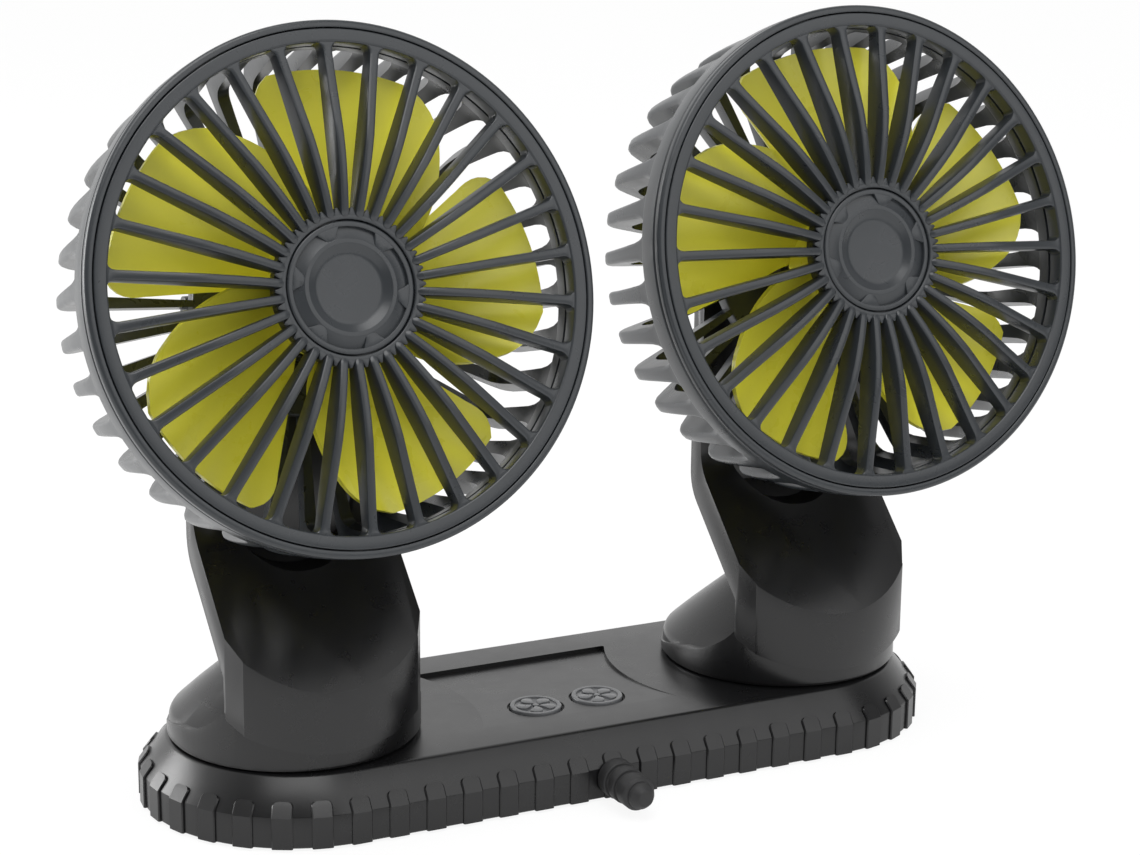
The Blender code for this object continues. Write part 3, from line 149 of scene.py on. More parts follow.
class Graph:
    """A node tree with one method that makes any node."""

    def __init__(self, tree: bpy.types.NodeTree) -> None:
        """Keep the tree that nodes are added to."""
        self.tree = tree

    def add(self, kind: str, settings: dict[str, Any] | None = None,
            values: dict[Any, Any] | None = None, out: Any = 0) -> Wire:
        """Add a node, set it up and join its inputs.

        Args:
            kind: The node's type.
            settings: Properties, set before any socket is touched.
            values: Numbers, vectors or wires by input name or index.
            out: Name or index of the output that is wanted.

        Returns:
            The wanted output.
        """
        node = self.tree.nodes.new(kind)
        for name, value in (settings or {}).items():
            setattr(node, name, value)
        for name, value in (values or {}).items():
            if isinstance(value, Wire):
                self.tree.links.new(value.socket, node.inputs[name])
            else:
                node.inputs[name].default_value = value
        return Wire(self, node.outputs[out])

    def noise(self, place: Wire, size: float, detail: float = 2.0, distortion: float = 0.0) -> Wire:
        """Sample a noise whose lumps are about a size across.

        Args:
            place: Where it is sampled.
            size: Width of a lump in metres.
            detail: Octaves of finer lumps.
            distortion: How far the lumps are stirred.

        Returns:
            The noise from 0 to 1.
        """
        return self.add("ShaderNodeTexNoise", {"noise_dimensions": "3D"}, {
            "Vector": place, "Scale": 1 / size, "Detail": detail, "Distortion": distortion}, "Fac")

    def blend(self, share: Wire, first: Sequence[float], second: Sequence[float]) -> Wire:
        """Mix two colours through the Mix node's colour sockets.

        Args:
            share: Share of the second colour.
            first: Red, green and blue.
            second: Red, green and blue.

        Returns:
            The mixed colour.
        """
        factor, one, other, result = 0, 6, 7, 2
        return self.add("ShaderNodeMix", {"data_type": "RGBA"}, {
            factor: share, one: (*first, 1), other: (*second, 1)}, result)


# Finishes


class Sheen(Enum):
    """How a surface throws light back."""

    SATIN = "satin"
    GLOSSY = "glossy"
    MATT = "matt"


class Surface:
    """A new Principled material with its graph and the place that its patterns are read at."""

    def __init__(self, name: str) -> None:
        """Make the material.

        Args:
            name: Its name.
        """
        self.material = bpy.data.materials.new(name)
        self.material.use_nodes = True
        self.graph = Graph(self.material.node_tree)
        self.shader = self.material.node_tree.nodes["Principled BSDF"]
        self.place = self.graph.add("ShaderNodeTexCoord", out="Object")

    def finish(self, colour: Wire, roughness: Wire, height: Wire, relief: float,
               strength: float) -> bpy.types.Material:
        """Join a colour, a roughness and a relief to the shader.

        Args:
            colour: Base colour.
            roughness: Roughness.
            height: Pattern of the relief, from 0 to 1.
            relief: Depth of the relief in metres.
            strength: Share of it that shows.

        Returns:
            The material.
        """
        bump = self.graph.add("ShaderNodeBump", None, {
            "Strength": strength, "Distance": relief, "Height": height})
        for wire, socket in ((colour, "Base Color"), (roughness, "Roughness"), (bump, "Normal")):
            self.graph.tree.links.new(wire.socket, self.shader.inputs[socket])
        return self.material


@dataclass(frozen=True)
class Moulding:
    """Moulded plastic or rubber with a fine grain, faint clouding and rubbed patches."""

    name: str
    colour: tuple[float, float, float]
    sheen: Sheen
    grain: float = 0.00035
    relief: float = 0.00002
    clouding: float = 0.10
    flow: float = 0.0
    cloud_size: float = 0.022
    cloud_rough: float = 0.08
    rub_size: float = 0.006
    rub_rough: float = 0.10

    @property
    def roughness(self) -> float:
        """Middle roughness of the sheen."""
        return {Sheen.SATIN: 0.29, Sheen.GLOSSY: 0.20, Sheen.MATT: 0.60}[self.sheen]

    def make(self) -> bpy.types.Material:
        """Build the material.

        Returns:
            A Principled material whose colour, roughness and bump vary over the surface.
        """
        surface = Surface(self.name)
        graph, place = surface.graph, surface.place
        cloud = graph.noise(place, self.cloud_size, 3)
        rub = graph.noise(place, self.rub_size, 4, 0.6)
        grain = graph.noise(place, self.grain, 2)
        dark = [value * (1 - self.clouding) for value in self.colour]
        light = [min(1.0, value * (1 + self.clouding)) for value in self.colour]
        middle = self.roughness - (self.cloud_rough + self.rub_rough) / 2
        height = grain
        if self.flow:
            lines = graph.add("ShaderNodeTexWave", {"wave_type": "RINGS", "rings_direction": "Z"}, {
                "Vector": place, "Scale": 60.0, "Distortion": 1.5, "Detail": 1.0}, "Fac")
            height = grain + lines * self.flow
        return surface.finish(
            graph.blend(cloud * 0.7 + grain * 0.3, dark, light),
            cloud * self.cloud_rough + rub * self.rub_rough + middle, height, self.relief, 0.6)


@dataclass(frozen=True)
class Turned:
    """Plain steel with fine turning marks and a few duller patches."""

    name: str
    colour: tuple[float, float, float] = (0.56, 0.56, 0.57)
    mark_size: float = 0.0006
    patch_size: float = 0.0030
    relief: float = 0.00001

    def make(self) -> bpy.types.Material:
        """Build the material.

        Returns:
            A metallic material with a streaked roughness and bump.
        """
        surface = Surface(self.name)
        graph, place = surface.graph, surface.place
        stretched = graph.add("ShaderNodeMapping", None, {"Vector": place, "Scale": (1, 1, 6)})
        marks = graph.noise(stretched, self.mark_size, 3)
        patch = graph.noise(place, self.patch_size, 3)
        surface.shader.inputs["Metallic"].default_value = 1.0
        return surface.finish(
            graph.blend(patch, [value * 0.8 for value in self.colour], self.colour),
            marks * 0.15 + patch * 0.12 + 0.22, marks, self.relief, 0.4)


@dataclass(frozen=True)
class Laminate:
    """Circuit board: green lacquer over a faint weave and straight copper tracks."""

    name: str
    dark: tuple[float, float, float] = (0.012, 0.09, 0.035)
    light: tuple[float, float, float] = (0.03, 0.17, 0.07)
    weave_size: float = 0.0004
    relief: float = 0.00003

    def make(self) -> bpy.types.Material:
        """Build the material.

        Returns:
            A glossy green material with lighter tracks.
        """
        surface = Surface(self.name)
        graph, place = surface.graph, surface.place
        weave = graph.noise(place, self.weave_size, 2)
        lines = graph.add("ShaderNodeTexWave", {"wave_type": "BANDS", "bands_direction": "X"}, {
            "Vector": place, "Scale": 90.0, "Distortion": 0.0}, "Fac")
        track = lines.above(0.8)
        return surface.finish(
            graph.blend(track * 0.8 + weave * 0.2, self.dark, self.light), weave * 0.15 + 0.25, track,
            self.relief, 0.5)


class Finishes:
    """Every finish of the fan, made once and looked up by name."""

    def __init__(self) -> None:
        """Build the materials."""
        self.housing = Moulding("housing_plastic", linear(17, 17, 18), Sheen.SATIN, flow=0.03).make()
        self.cage = Moulding("cage_plastic", linear(41, 44, 47), Sheen.SATIN, clouding=0.06).make()
        self.blade = Moulding("blade_plastic_skin", linear(232, 226, 66), Sheen.SATIN, grain=0.0008,
                              relief=0.00001, clouding=0.05, flow=0.05).make()
        self.button = Moulding("button_plastic_skin", linear(92, 93, 95), Sheen.SATIN, grain=0.0003).make()
        self.rubber = Moulding("boot_rubber", linear(34, 34, 35), Sheen.MATT, grain=0.0005,
                               relief=0.00004).make()
        self.sealed = Moulding("glossy_end", linear(16, 16, 18), Sheen.GLOSSY).make()
        self.steel = Turned("turned_steel").make()
        self.board = Laminate("board_lacquer").make()

    def of_slot(self, slot: str) -> bpy.types.Material:
        """Give the finish that stands for a material slot.

        Args:
            slot: The record's name for it.

        Returns:
            The finish.
        """
        return {
            "black_plastic": self.housing, "slate_plastic": self.cage, "blade_plastic": self.blade,
            "button_plastic": self.button, "black_rubber": self.rubber, "board_green": self.board,
            "steel": self.steel}[slot]


# Shapes


def fillet(points: Sequence[Point], radii: Sequence[float], steps: int = 4,
           closed: bool = False) -> list[Point]:
    """Round the corners of a flat line.

    Args:
        points: The corners in order.
        radii: One radius for each corner, 0 for a sharp one.
        steps: Segments in each rounded corner.
        closed: Whether the line runs back to its start.

    Returns:
        The rounded line.
    """
    rounded: list[Point] = []
    for index, (corner, radius) in enumerate(zip(points, radii)):
        if radius <= 0 or (not closed and index in (0, len(points) - 1)):
            rounded.append(corner)
            continue
        here = Vector(corner)
        before = Vector(points[index - 1]) - here
        after = Vector(points[(index + 1) % len(points)]) - here
        opening = before.angle(after)
        reach = min(radius / math.tan(opening / 2), 0.49 * before.length, 0.49 * after.length)
        before.normalize()
        after.normalize()
        size = reach * math.tan(opening / 2)
        centre = here + (before + after).normalized() * (size / math.sin(opening / 2))
        start = here + before * reach - centre
        end = here + after * reach - centre
        turn = math.atan2(start.x * end.y - start.y * end.x, start.dot(end))
        angle = math.atan2(start.y, start.x)
        for step in range(steps + 1):
            part = angle + turn * step / steps
            rounded.append((centre.x + size * math.cos(part), centre.y + size * math.sin(part)))
    return rounded


def arc(centre: Point, radius: float, start: float, end: float, steps: int) -> list[Point]:
    """List points along an arc, both ends included.

    Args:
        centre: Middle of the arc.
        radius: Its radius.
        start: Angle of the first point.
        end: Angle of the last point.
        steps: Segments.

    Returns:
        The points.
    """
    return [(centre[0] + radius * math.cos(start + (end - start) * step / steps),
             centre[1] + radius * math.sin(start + (end - start) * step / steps))
            for step in range(steps + 1)]


class Solid:
    """A mesh in the making, with the operations that this object's pieces need."""

    MERGE = 0.000005
    FLAT = math.radians(0.2)
    POLE = 1e-7

    def __init__(self, data: bmesh.types.BMesh | None = None) -> None:
        """Start from a bmesh, or from nothing."""
        self.data = data or bmesh.new()

    @classmethod
    def revolved(cls, profile: Sequence[Point], steps: int, closed: bool = False) -> "Solid":
        """Turn a profile of radius and height about Z.

        Args:
            profile: Points of the half section; radius 0 closes a pole.
            steps: Segments round the axis.
            closed: Whether the profile runs back to its start.

        Returns:
            The turned solid.
        """
        data = bmesh.new()
        rows = []
        for radius, height in profile:
            if radius < cls.POLE:
                rows.append([data.verts.new((0, 0, height))])
                continue
            rows.append([data.verts.new((radius * math.cos(math.tau * step / steps),
                                         radius * math.sin(math.tau * step / steps), height))
                         for step in range(steps)])
        pairs = list(zip(rows, rows[1:])) + ([(rows[-1], rows[0])] if closed else [])
        for lower, upper in pairs:
            for step in range(steps):
                after = (step + 1) % steps
                if len(lower) == 1 and len(upper) > 1:
                    data.faces.new((lower[0], upper[step], upper[after]))
                elif len(upper) == 1 and len(lower) > 1:
                    data.faces.new((lower[step], lower[after], upper[0]))
                elif len(lower) > 1:
                    data.faces.new((lower[step], lower[after], upper[after], upper[step]))
        bmesh.ops.recalc_face_normals(data, faces=data.faces)
        return cls(data)

    @classmethod
    def lofted(cls, rings: Sequence[Ring]) -> "Solid":
        """Close a solid over rings of equal numbers of points.

        Args:
            rings: The sections in order.

        Returns:
            The solid, with flat caps.
        """
        data = bmesh.new()
        rows = [[data.verts.new(point) for point in ring] for ring in rings]
        data.faces.new(rows[0])
        data.faces.new(rows[-1])
        for lower, upper in zip(rows, rows[1:]):
            for index in range(len(lower)):
                after = (index + 1) % len(lower)
                data.faces.new((lower[index], lower[after], upper[after], upper[index]))
        bmesh.ops.recalc_face_normals(data, faces=data.faces)
        return cls(data)

    @classmethod
    def prism(cls, outline: Sequence[Point], low: float, high: float, edge: float = 0.0,
              matrix: Matrix | None = None) -> "Solid":
        """Stand a flat outline up between two levels.

        Args:
            outline: The outline in its own plane.
            low: Lower level across the plane.
            high: Upper level.
            edge: Radius of the rounded rims, 0 for sharp ones.
            matrix: Where the outline's plane lies.

        Returns:
            The prism.
        """
        solid = cls.lofted([[(x, y, low) for x, y in outline], [(x, y, high) for x, y in outline]])
        if edge:
            rims = [item for item in solid.data.edges
                    if abs(item.verts[0].co.z - item.verts[1].co.z) < cls.POLE]
            bmesh.ops.bevel(solid.data, geom=rims, offset=edge, segments=2, profile=0.5,
                            affect="EDGES", clamp_overlap=True)
        return solid.moved(matrix or Matrix.Identity(4))

    @classmethod
    def cylinder(cls, radius: float, low: float, high: float, at: Point = (0, 0), edge: float = 0.0,
                 steps: int = 64) -> "Solid":
        """Stand a cylinder between two heights.

        Args:
            radius: Its radius.
            low: Lower end.
            high: Upper end.
            at: Its axis.
            edge: Radius of the rounded rims.
            steps: Segments round it.

        Returns:
            The cylinder.
        """
        profile = fillet([(0, low), (radius, low), (radius, high), (0, high)], [0, edge, edge, 0], 3)
        return cls.revolved(profile, steps).moved(Matrix.Translation((at[0], at[1], 0)))

    @classmethod
    def block(cls, low: Sequence[float], high: Sequence[float]) -> "Solid":
        """Make a block between two corners.

        Args:
            low: The corner with the smallest coordinates.
            high: The corner across from it.

        Returns:
            The block.
        """
        data = bmesh.new()
        bmesh.ops.create_cube(data, size=1)
        size = Vector(high) - Vector(low)
        middle = (Vector(high) + Vector(low)) / 2
        bmesh.ops.transform(data, matrix=Matrix.Translation(middle) @ Matrix.Diagonal((*size, 1)),
                            verts=data.verts)
        return cls(data)

    @classmethod
    def from_mesh(cls, mesh: bpy.types.Mesh) -> "Solid":
        """Take a mesh over into a solid.

        Args:
            mesh: The mesh, which is used up.

        Returns:
            The solid.
        """
        solid = cls()
        solid.data.from_mesh(mesh)
        bpy.data.meshes.remove(mesh)
        return solid

    def moved(self, matrix: Matrix) -> "Solid":
        """Move the solid and return it."""
        bmesh.ops.transform(self.data, matrix=matrix, verts=self.data.verts)
        return self

    def plus(self, *others: "Solid") -> "Solid":
        """Take other solids into the same mesh, without a Boolean.

        Args:
            others: The other solids, which are used up.

        Returns:
            This solid.
        """
        for other in others:
            mesh = other.mesh("part")
            self.data.from_mesh(mesh)
            bpy.data.meshes.remove(mesh)
        return self

    def mesh(self, name: str) -> bpy.types.Mesh:
        """Write the solid into a new mesh and free the working data.

        Args:
            name: The mesh's name.

        Returns:
            The mesh.
        """
        mesh = bpy.data.meshes.new(name)
        self.data.to_mesh(mesh)
        self.data.free()
        return mesh

    def scratch(self, name: str = "scratch") -> bpy.types.Object:
        """Put the solid into the scene as a working object.

        Args:
            name: The object's name.

        Returns:
            The object.
        """
        item = bpy.data.objects.new(name, self.mesh(name))
        bpy.context.scene.collection.objects.link(item)
        return item

    def boolean(self, operation: str, *tools: "Solid") -> "Solid":
        """Cut, join or intersect with other solids.

        Args:
            operation: DIFFERENCE, UNION or INTERSECT.
            tools: The other solids, which are used up.

        Returns:
            The result.
        """
        item = self.scratch()
        for index, tool in enumerate(tools):
            step = item.modifiers.new(f"step_{index}", "BOOLEAN")
            step.operation = operation
            step.solver = "EXACT"
            step.object = tool.scratch("tool")
        solid = Solid.from_mesh(evaluated(item))
        for step in list(item.modifiers):
            discard(step.object)
        discard(item)
        bmesh.ops.remove_doubles(solid.data, verts=solid.data.verts, dist=self.MERGE)
        bmesh.ops.dissolve_limit(solid.data, angle_limit=self.FLAT, verts=solid.data.verts,
                                 edges=solid.data.edges)
        return solid

    def cut(self, *tools: "Solid") -> "Solid":
        """Take other solids away."""
        return self.boolean("DIFFERENCE", *tools)

    def join(self, *tools: "Solid") -> "Solid":
        """Fuse other solids on."""
        return self.boolean("UNION", *tools)

    def eased(self, edge: float, angle: float) -> "Solid":
        """Round the sharp edges with a Bevel modifier.

        Args:
            edge: Width of the rounding.
            angle: Edges sharper than this are rounded, in degrees.

        Returns:
            The eased solid.
        """
        item = self.scratch()
        step = item.modifiers.new("ease", "BEVEL")
        step.width = edge
        step.segments = 2
        step.limit_method = "ANGLE"
        step.angle_limit = math.radians(angle)
        step.use_clamp_overlap = True
        step.miter_outer = "MITER_ARC"
        solid = Solid.from_mesh(evaluated(item))
        discard(item)
        return solid


def evaluated(item: bpy.types.Object) -> bpy.types.Mesh:
    """Apply an object's modifiers.

    Args:
        item: The object, which stays as it is.

    Returns:
        A plain mesh.
    """
    bpy.context.view_layer.update()
    graph = bpy.context.evaluated_depsgraph_get()
    return bpy.data.meshes.new_from_object(item.evaluated_get(graph))


def discard(item: bpy.types.Object) -> None:
    """Remove a working object and its mesh.

    Args:
        item: The object.
    """
    mesh = item.data
    bpy.data.objects.remove(item)
    if mesh is not None and mesh.users == 0:
        bpy.data.meshes.remove(mesh)


# Repeats


class Repeat:
    """A Geometry Nodes tree that repeats one shape, realised into a plain mesh."""

    def __init__(self, name: str, inputs: Iterable[tuple[str, str]]) -> None:
        """Open the tree with a shape, a finish and further named inputs.

        Args:
            name: The tree's name.
            inputs: Label and socket type of each further input.
        """
        self.tree = bpy.data.node_groups.new(name, "GeometryNodeTree")
        self.sockets: dict[str, str] = {}
        face = self.tree.interface
        face.new_socket("Shape", in_out="INPUT", socket_type="NodeSocketGeometry")
        for label, kind in (*inputs, ("Finish", "NodeSocketMaterial")):
            socket = face.new_socket(label, in_out="INPUT", socket_type=kind)
            self.sockets[label] = socket.identifier
        face.new_socket("Shape", in_out="OUTPUT", socket_type="NodeSocketGeometry")
        self.graph = Graph(self.tree)
        self.entry = self.tree.nodes.new("NodeGroupInput")

    def given(self, label: str) -> Wire:
        """Give a named input of the tree."""
        return Wire(self.graph, self.entry.outputs[label])

    def close(self, points: Wire, turn: Wire) -> None:
        """End the tree: a shape on each point, realised and given its finish.

        Args:
            points: Where the shapes go.
            turn: How each is turned.
        """
        graph = self.graph
        placed = graph.add("GeometryNodeInstanceOnPoints", None, {
            "Points": points, "Instance": self.given("Shape"), "Rotation": turn})
        real = graph.add("GeometryNodeRealizeInstances", None, {"Geometry": placed})
        dressed = graph.add("GeometryNodeSetMaterial", None, {
            "Geometry": real, "Material": self.given("Finish")})
        leave = self.tree.nodes.new("NodeGroupOutput")
        self.tree.links.new(dressed.socket, leave.inputs["Shape"])

    def run(self, shape: Solid, finish: bpy.types.Material, **values: Any) -> Solid:
        """Repeat a shape.

        Args:
            shape: The shape, which is used up.
            finish: Its material.
            values: The tree's named inputs, with _ for a space.

        Returns:
            All copies in one plain mesh.
        """
        item = shape.scratch()
        step = item.modifiers.new("repeat", "NODES")
        step.node_group = self.tree
        step[self.sockets["Finish"]] = finish
        for label, value in values.items():
            step[self.sockets[label.replace("_", " ")]] = value
        mesh = evaluated(item)
        item.modifiers.remove(step)
        discard(item)
        return Solid.from_mesh(mesh)


class RoundRepeat(Repeat):
    """Copies of a shape turned evenly about Z."""

    def __init__(self) -> None:
        """Build the tree."""
        super().__init__("repeat_about_axis", (("Count", "NodeSocketInt"), ("Start", "NodeSocketFloat")))
        graph = self.graph
        count = self.given("Count")
        points = graph.add("GeometryNodePoints", None, {"Count": count})
        index = graph.add("GeometryNodeInputIndex")
        angle = index * math.tau / count + self.given("Start")
        self.close(points, graph.add("ShaderNodeCombineXYZ", None, {"Z": angle}))


class EdgeRepeat(Repeat):
    """Copies of a shape set along the outline of a bar with round ends, facing outwards."""

    def __init__(self) -> None:
        """Build the tree."""
        super().__init__("repeat_along_bar", (
            ("Count", "NodeSocketInt"), ("Length", "NodeSocketFloat"), ("Width", "NodeSocketFloat"),
            ("Offset", "NodeSocketFloat")))
        graph = self.graph
        width = self.given("Width")
        box = graph.add("GeometryNodeCurvePrimitiveQuadrilateral", {"mode": "RECTANGLE"}, {
            "Width": self.given("Length"), "Height": width})
        nearly_half = 0.49999
        bar = graph.add("GeometryNodeFilletCurve", {"mode": "POLY"}, {
            "Curve": box, "Count": 48, "Radius": width * nearly_half})
        count = self.given("Count")
        points = graph.add("GeometryNodePoints", None, {"Count": count})
        index = graph.add("GeometryNodeInputIndex")
        share = (index + self.given("Offset")) / count
        sampled = graph.add("GeometryNodeSampleCurve", {"mode": "FACTOR", "use_all_curves": True}, {
            "Curves": bar, "Factor": share}, "Position")
        tangent = Wire(graph, sampled.socket.node.outputs["Tangent"])
        seated = graph.add("GeometryNodeSetPosition", None, {"Geometry": points, "Position": sampled})
        turn = graph.add("FunctionNodeAlignRotationToVector", {"axis": "X", "pivot_axis": "Z"}, {
            "Vector": tangent})
        self.close(seated, turn)


# Dressing


class Side(Enum):
    """The two ends of the base."""

    LEFT = "left"
    RIGHT = "right"

    @property
    def sign(self) -> int:
        """Direction along X."""
        return -1 if self is Side.LEFT else 1


@dataclass
class Workshop:
    """What every sub-assembly shares: the finishes, the repeats and the way pieces are seated."""

    finishes: Finishes = field(default_factory=Finishes)
    round: RoundRepeat = field(default_factory=RoundRepeat)
    edge: EdgeRepeat = field(default_factory=EdgeRepeat)
    seated: list[str] = field(default_factory=list)

    def seat(self, solid: Solid, node: str, body: str, slot: str, place: Matrix | None = None,
             extra: Sequence[bpy.types.Material] = ()) -> None:
        """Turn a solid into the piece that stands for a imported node.

        Args:
            solid: The shape.
            node: The node that it stands for.
            body: The body that it moves with.
            slot: The record's material slot, which gives its main finish.
            place: Where its own frame lies.
            extra: Finishes of faces with a higher material index.
        """
        name = f"{node}_form"
        if place is not None:
            solid.moved(place)
        mesh = solid.mesh(name)
        mesh.materials.clear()
        for material in (self.finishes.of_slot(slot), *extra):
            mesh.materials.append(material)
        mesh.shade_smooth()
        mesh.set_sharp_from_angle(angle=SMOOTH_BELOW)
        piece = bpy.data.objects.new(name, mesh)
        bpy.context.scene.collection.objects.link(piece)
        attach(piece, body)
        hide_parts(node)
        self.seated.append(node)
        LOG.info("%s: %d faces, rides on %s", name, len(mesh.polygons), body)

    def dress_the_rest(self) -> None:
        """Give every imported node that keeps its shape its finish."""
        for part in frame["record"]["subparts"]:
            node = part["node"]
            if node in self.seated:
                continue
            item = frame["nodes"][node]
            item.data.materials.clear()
            item.data.materials.append(self.finishes.of_slot(part["material_slot"]))
            LOG.info("%s keeps its shape", node)


# The base


@dataclass
class Base:
    """Long housing with round ends, its mat, push buttons and cord boot."""

    shop: Workshop
    end_x: float = 0.0720
    skirt_radius: float = 0.0421
    top_radius: float = 0.0352
    low_z: float = 0.0006
    skirt_top_z: float = 0.0090
    top_z: float = 0.0177
    wall: float = 0.0022
    low_ease: float = 0.0003
    skirt_ease: float = 0.00015
    top_ease: float = 0.0016
    tab_count: int = 54
    tab_width: float = 0.0054
    tab_rise: float = 0.0040
    tab_proud: float = 0.0006
    tab_sunk: float = 0.0006
    tab_corner: float = 0.0013
    tab_ease: float = 0.0003
    tray_back_y: float = 0.0224
    tray_front_y: float = -0.0228
    tray_depth: float = 0.0012
    tray_radius: float = 0.0498
    tray_ease: float = 0.0008
    pod_x: float = 0.0740
    pod_y: float = -0.0010
    pod_hole: float = 0.0103
    hole_low_z: float = 0.0100
    hole_high_z: float = 0.0200
    button_x: float = 0.0093
    button_y: float = -0.0136
    button_radius: float = 0.0070
    button_gap: float = 0.0003
    button_proud: float = 0.0002
    button_rim_width: float = 0.0012
    button_rim_rise: float = 0.0005
    button_collar: float = 0.0006
    button_leaves: int = 5
    symbol_ease: float = 0.00012
    groove_width: float = 0.0008
    groove_depth: float = 0.0010
    boot_z: float = 0.0064
    boot_length: float = 0.0180
    boot_hole: float = 0.0024
    boot_waist: float = 0.0011
    boot_rings: tuple[tuple[float, float, float], ...] = (
        (0.0052, 0.0003, 0.0042), (0.0049, 0.0055, 0.0085), (0.0046, 0.0098, 0.0138))
    mat_inset: float = 0.0032
    mat_thick: float = 0.0010

    def outline(self, radius: float, steps: int = 48) -> list[Point]:
        """Outline the bar with round ends at one end radius.

        Args:
            radius: Radius of both ends.
            steps: Segments in each end.

        Returns:
            The closed outline.
        """
        right = arc((self.end_x, 0), radius, -math.pi / 2, math.pi / 2, steps)
        left = arc((-self.end_x, 0), radius, math.pi / 2, 1.5 * math.pi, steps)
        return right + left

    def stack(self, levels: Sequence[Point]) -> Solid:
        """Loft the bar through pairs of end radius and height."""
        return Solid.lofted([[(x, y, height) for x, y in self.outline(radius)]
                             for radius, height in levels])

    def slope_radius(self, height: float) -> float:
        """Give the end radius of the sloping side at a height."""
        share = (self.top_z - height) / (self.top_z - self.skirt_top_z)
        return self.top_radius + (self.skirt_radius - self.top_radius) * share

    def tray_z(self, y: float) -> float:
        """Give the height of the tray's sloping floor."""
        share = (y - self.tray_front_y) / (self.tray_back_y - self.tray_front_y)
        return self.top_z - self.tray_depth * share

    def tray(self) -> Solid:
        """Shape the wedge that is cut into the top between the pods.

        Returns:
            The wedge, deepest at the back, with an arc about each pod as its end.
        """
        steps = 32
        reach = math.asin((self.tray_back_y - self.pod_y) / self.tray_radius)
        front = math.asin((self.top_radius + self.pod_y + CLEAR) / self.tray_radius)
        right = arc((self.pod_x, self.pod_y), self.tray_radius, math.pi + front, math.pi - reach, steps)
        eases = [0.0] * steps + [self.tray_ease]
        outline = fillet(right + [(-x, y) for x, y in reversed(right)], eases + eases[::-1], 3, True)
        tool = Solid.prism(outline, self.top_z - self.tray_depth, self.top_z + CLEAR)
        for corner in tool.data.verts:
            if corner.co.z < self.top_z:
                corner.co.z = self.tray_z(corner.co.y)
        return tool

    def tab(self) -> Solid:
        """Shape one raised tab of the skirt, standing outwards along -Y from its path.

        Returns:
            The tab, bent where the skirt's wall passes into the sloping side.
        """
        lean = math.atan2(self.skirt_radius - self.top_radius, self.top_z - self.skirt_top_z)
        wall = self.skirt_top_z - self.low_z
        half = self.tab_width / 2
        corner = self.tab_corner
        rim = arc((half - corner, wall + self.tab_rise - corner), corner, 0, math.pi / 2, 4)
        levels = [0.0, wall / 2, wall] + [y for _, y in rim]
        widths = [half, half, half] + [x for x, _ in rim]
        rings = []
        for height, width in zip(levels, widths):
            over = max(0.0, height - wall)
            depth = over * math.sin(lean)
            z = self.low_z + min(height, wall) + over * math.cos(lean)
            out = (-math.cos(lean), math.sin(lean)) if over else (-1.0, 0.0)
            skin, sunk = self.tab_proud, -self.tab_sunk
            ease = min(self.tab_ease, width * 0.4)
            section = [(-width, sunk), (-width, skin - ease), (-width + ease, skin),
                       (width - ease, skin), (width, skin - ease), (width, sunk)]
            rings.append([(x, depth + out[0] * d, z + out[1] * d) for x, d in section])
        return Solid.lofted(rings)

    def shell(self) -> None:
        """Build the housing with its tray, its holes and its tabs."""
        skirt, wall = self.skirt_radius, self.wall
        rim = fillet([(skirt, self.skirt_top_z), (self.top_radius, self.top_z),
                      (self.top_radius - 2 * CLEAR, self.top_z)], [0, self.top_ease, 0], 5)
        eased = self.skirt_top_z + self.skirt_ease
        body = self.stack([
            (skirt - self.low_ease, self.low_z), (skirt, self.low_z + self.low_ease),
            (skirt, self.skirt_top_z - self.skirt_ease), (self.slope_radius(eased), eased), *rim[1:-1]])
        under = self.top_z - wall
        tools = [self.stack([(skirt - wall, self.low_z - CLEAR), (skirt - wall, self.skirt_top_z),
                             (self.slope_radius(under) - wall, under)]), self.tray()]
        low, high = self.hole_low_z, self.hole_high_z
        groove_z = self.top_z - self.groove_depth
        for side in Side:
            at = (side.sign * self.button_x, self.button_y)
            tools += [
                Solid.cylinder(self.pod_hole, low, high, (side.sign * self.pod_x, self.pod_y)),
                Solid.cylinder(self.button_radius + self.button_gap, low, high, at),
                Solid.cylinder(self.button_radius + self.groove_width, groove_z, high, at)]
        tools.append(Solid.cylinder(self.boot_hole, -2 * CLEAR, CLEAR, steps=32).moved(self.boot_place()))
        body = body.cut(*tools)
        tabs = self.shop.edge.run(
            self.tab(), self.shop.finishes.housing, Count=self.tab_count,
            Length=2 * (self.end_x + skirt), Width=2 * skirt, Offset=0.5)
        self.shop.seat(body.plus(tabs), "base_shell", "base", "black_plastic")

    def boot_place(self) -> Matrix:
        """Place of the cord boot, whose own +Z runs out through the front wall."""
        return Matrix.Translation((0, -self.skirt_radius, self.boot_z)) @ Matrix.Rotation(
            math.pi / 2, 4, "X")

    def mat(self) -> None:
        """Build the anti-slip mat under the floor."""
        radius, ease = self.skirt_radius - self.mat_inset, self.low_ease
        mat = self.stack([(radius, 0), (radius, self.mat_thick - ease), (radius - ease, self.mat_thick)])
        self.shop.seat(mat, "base_mat", "base", "black_rubber")

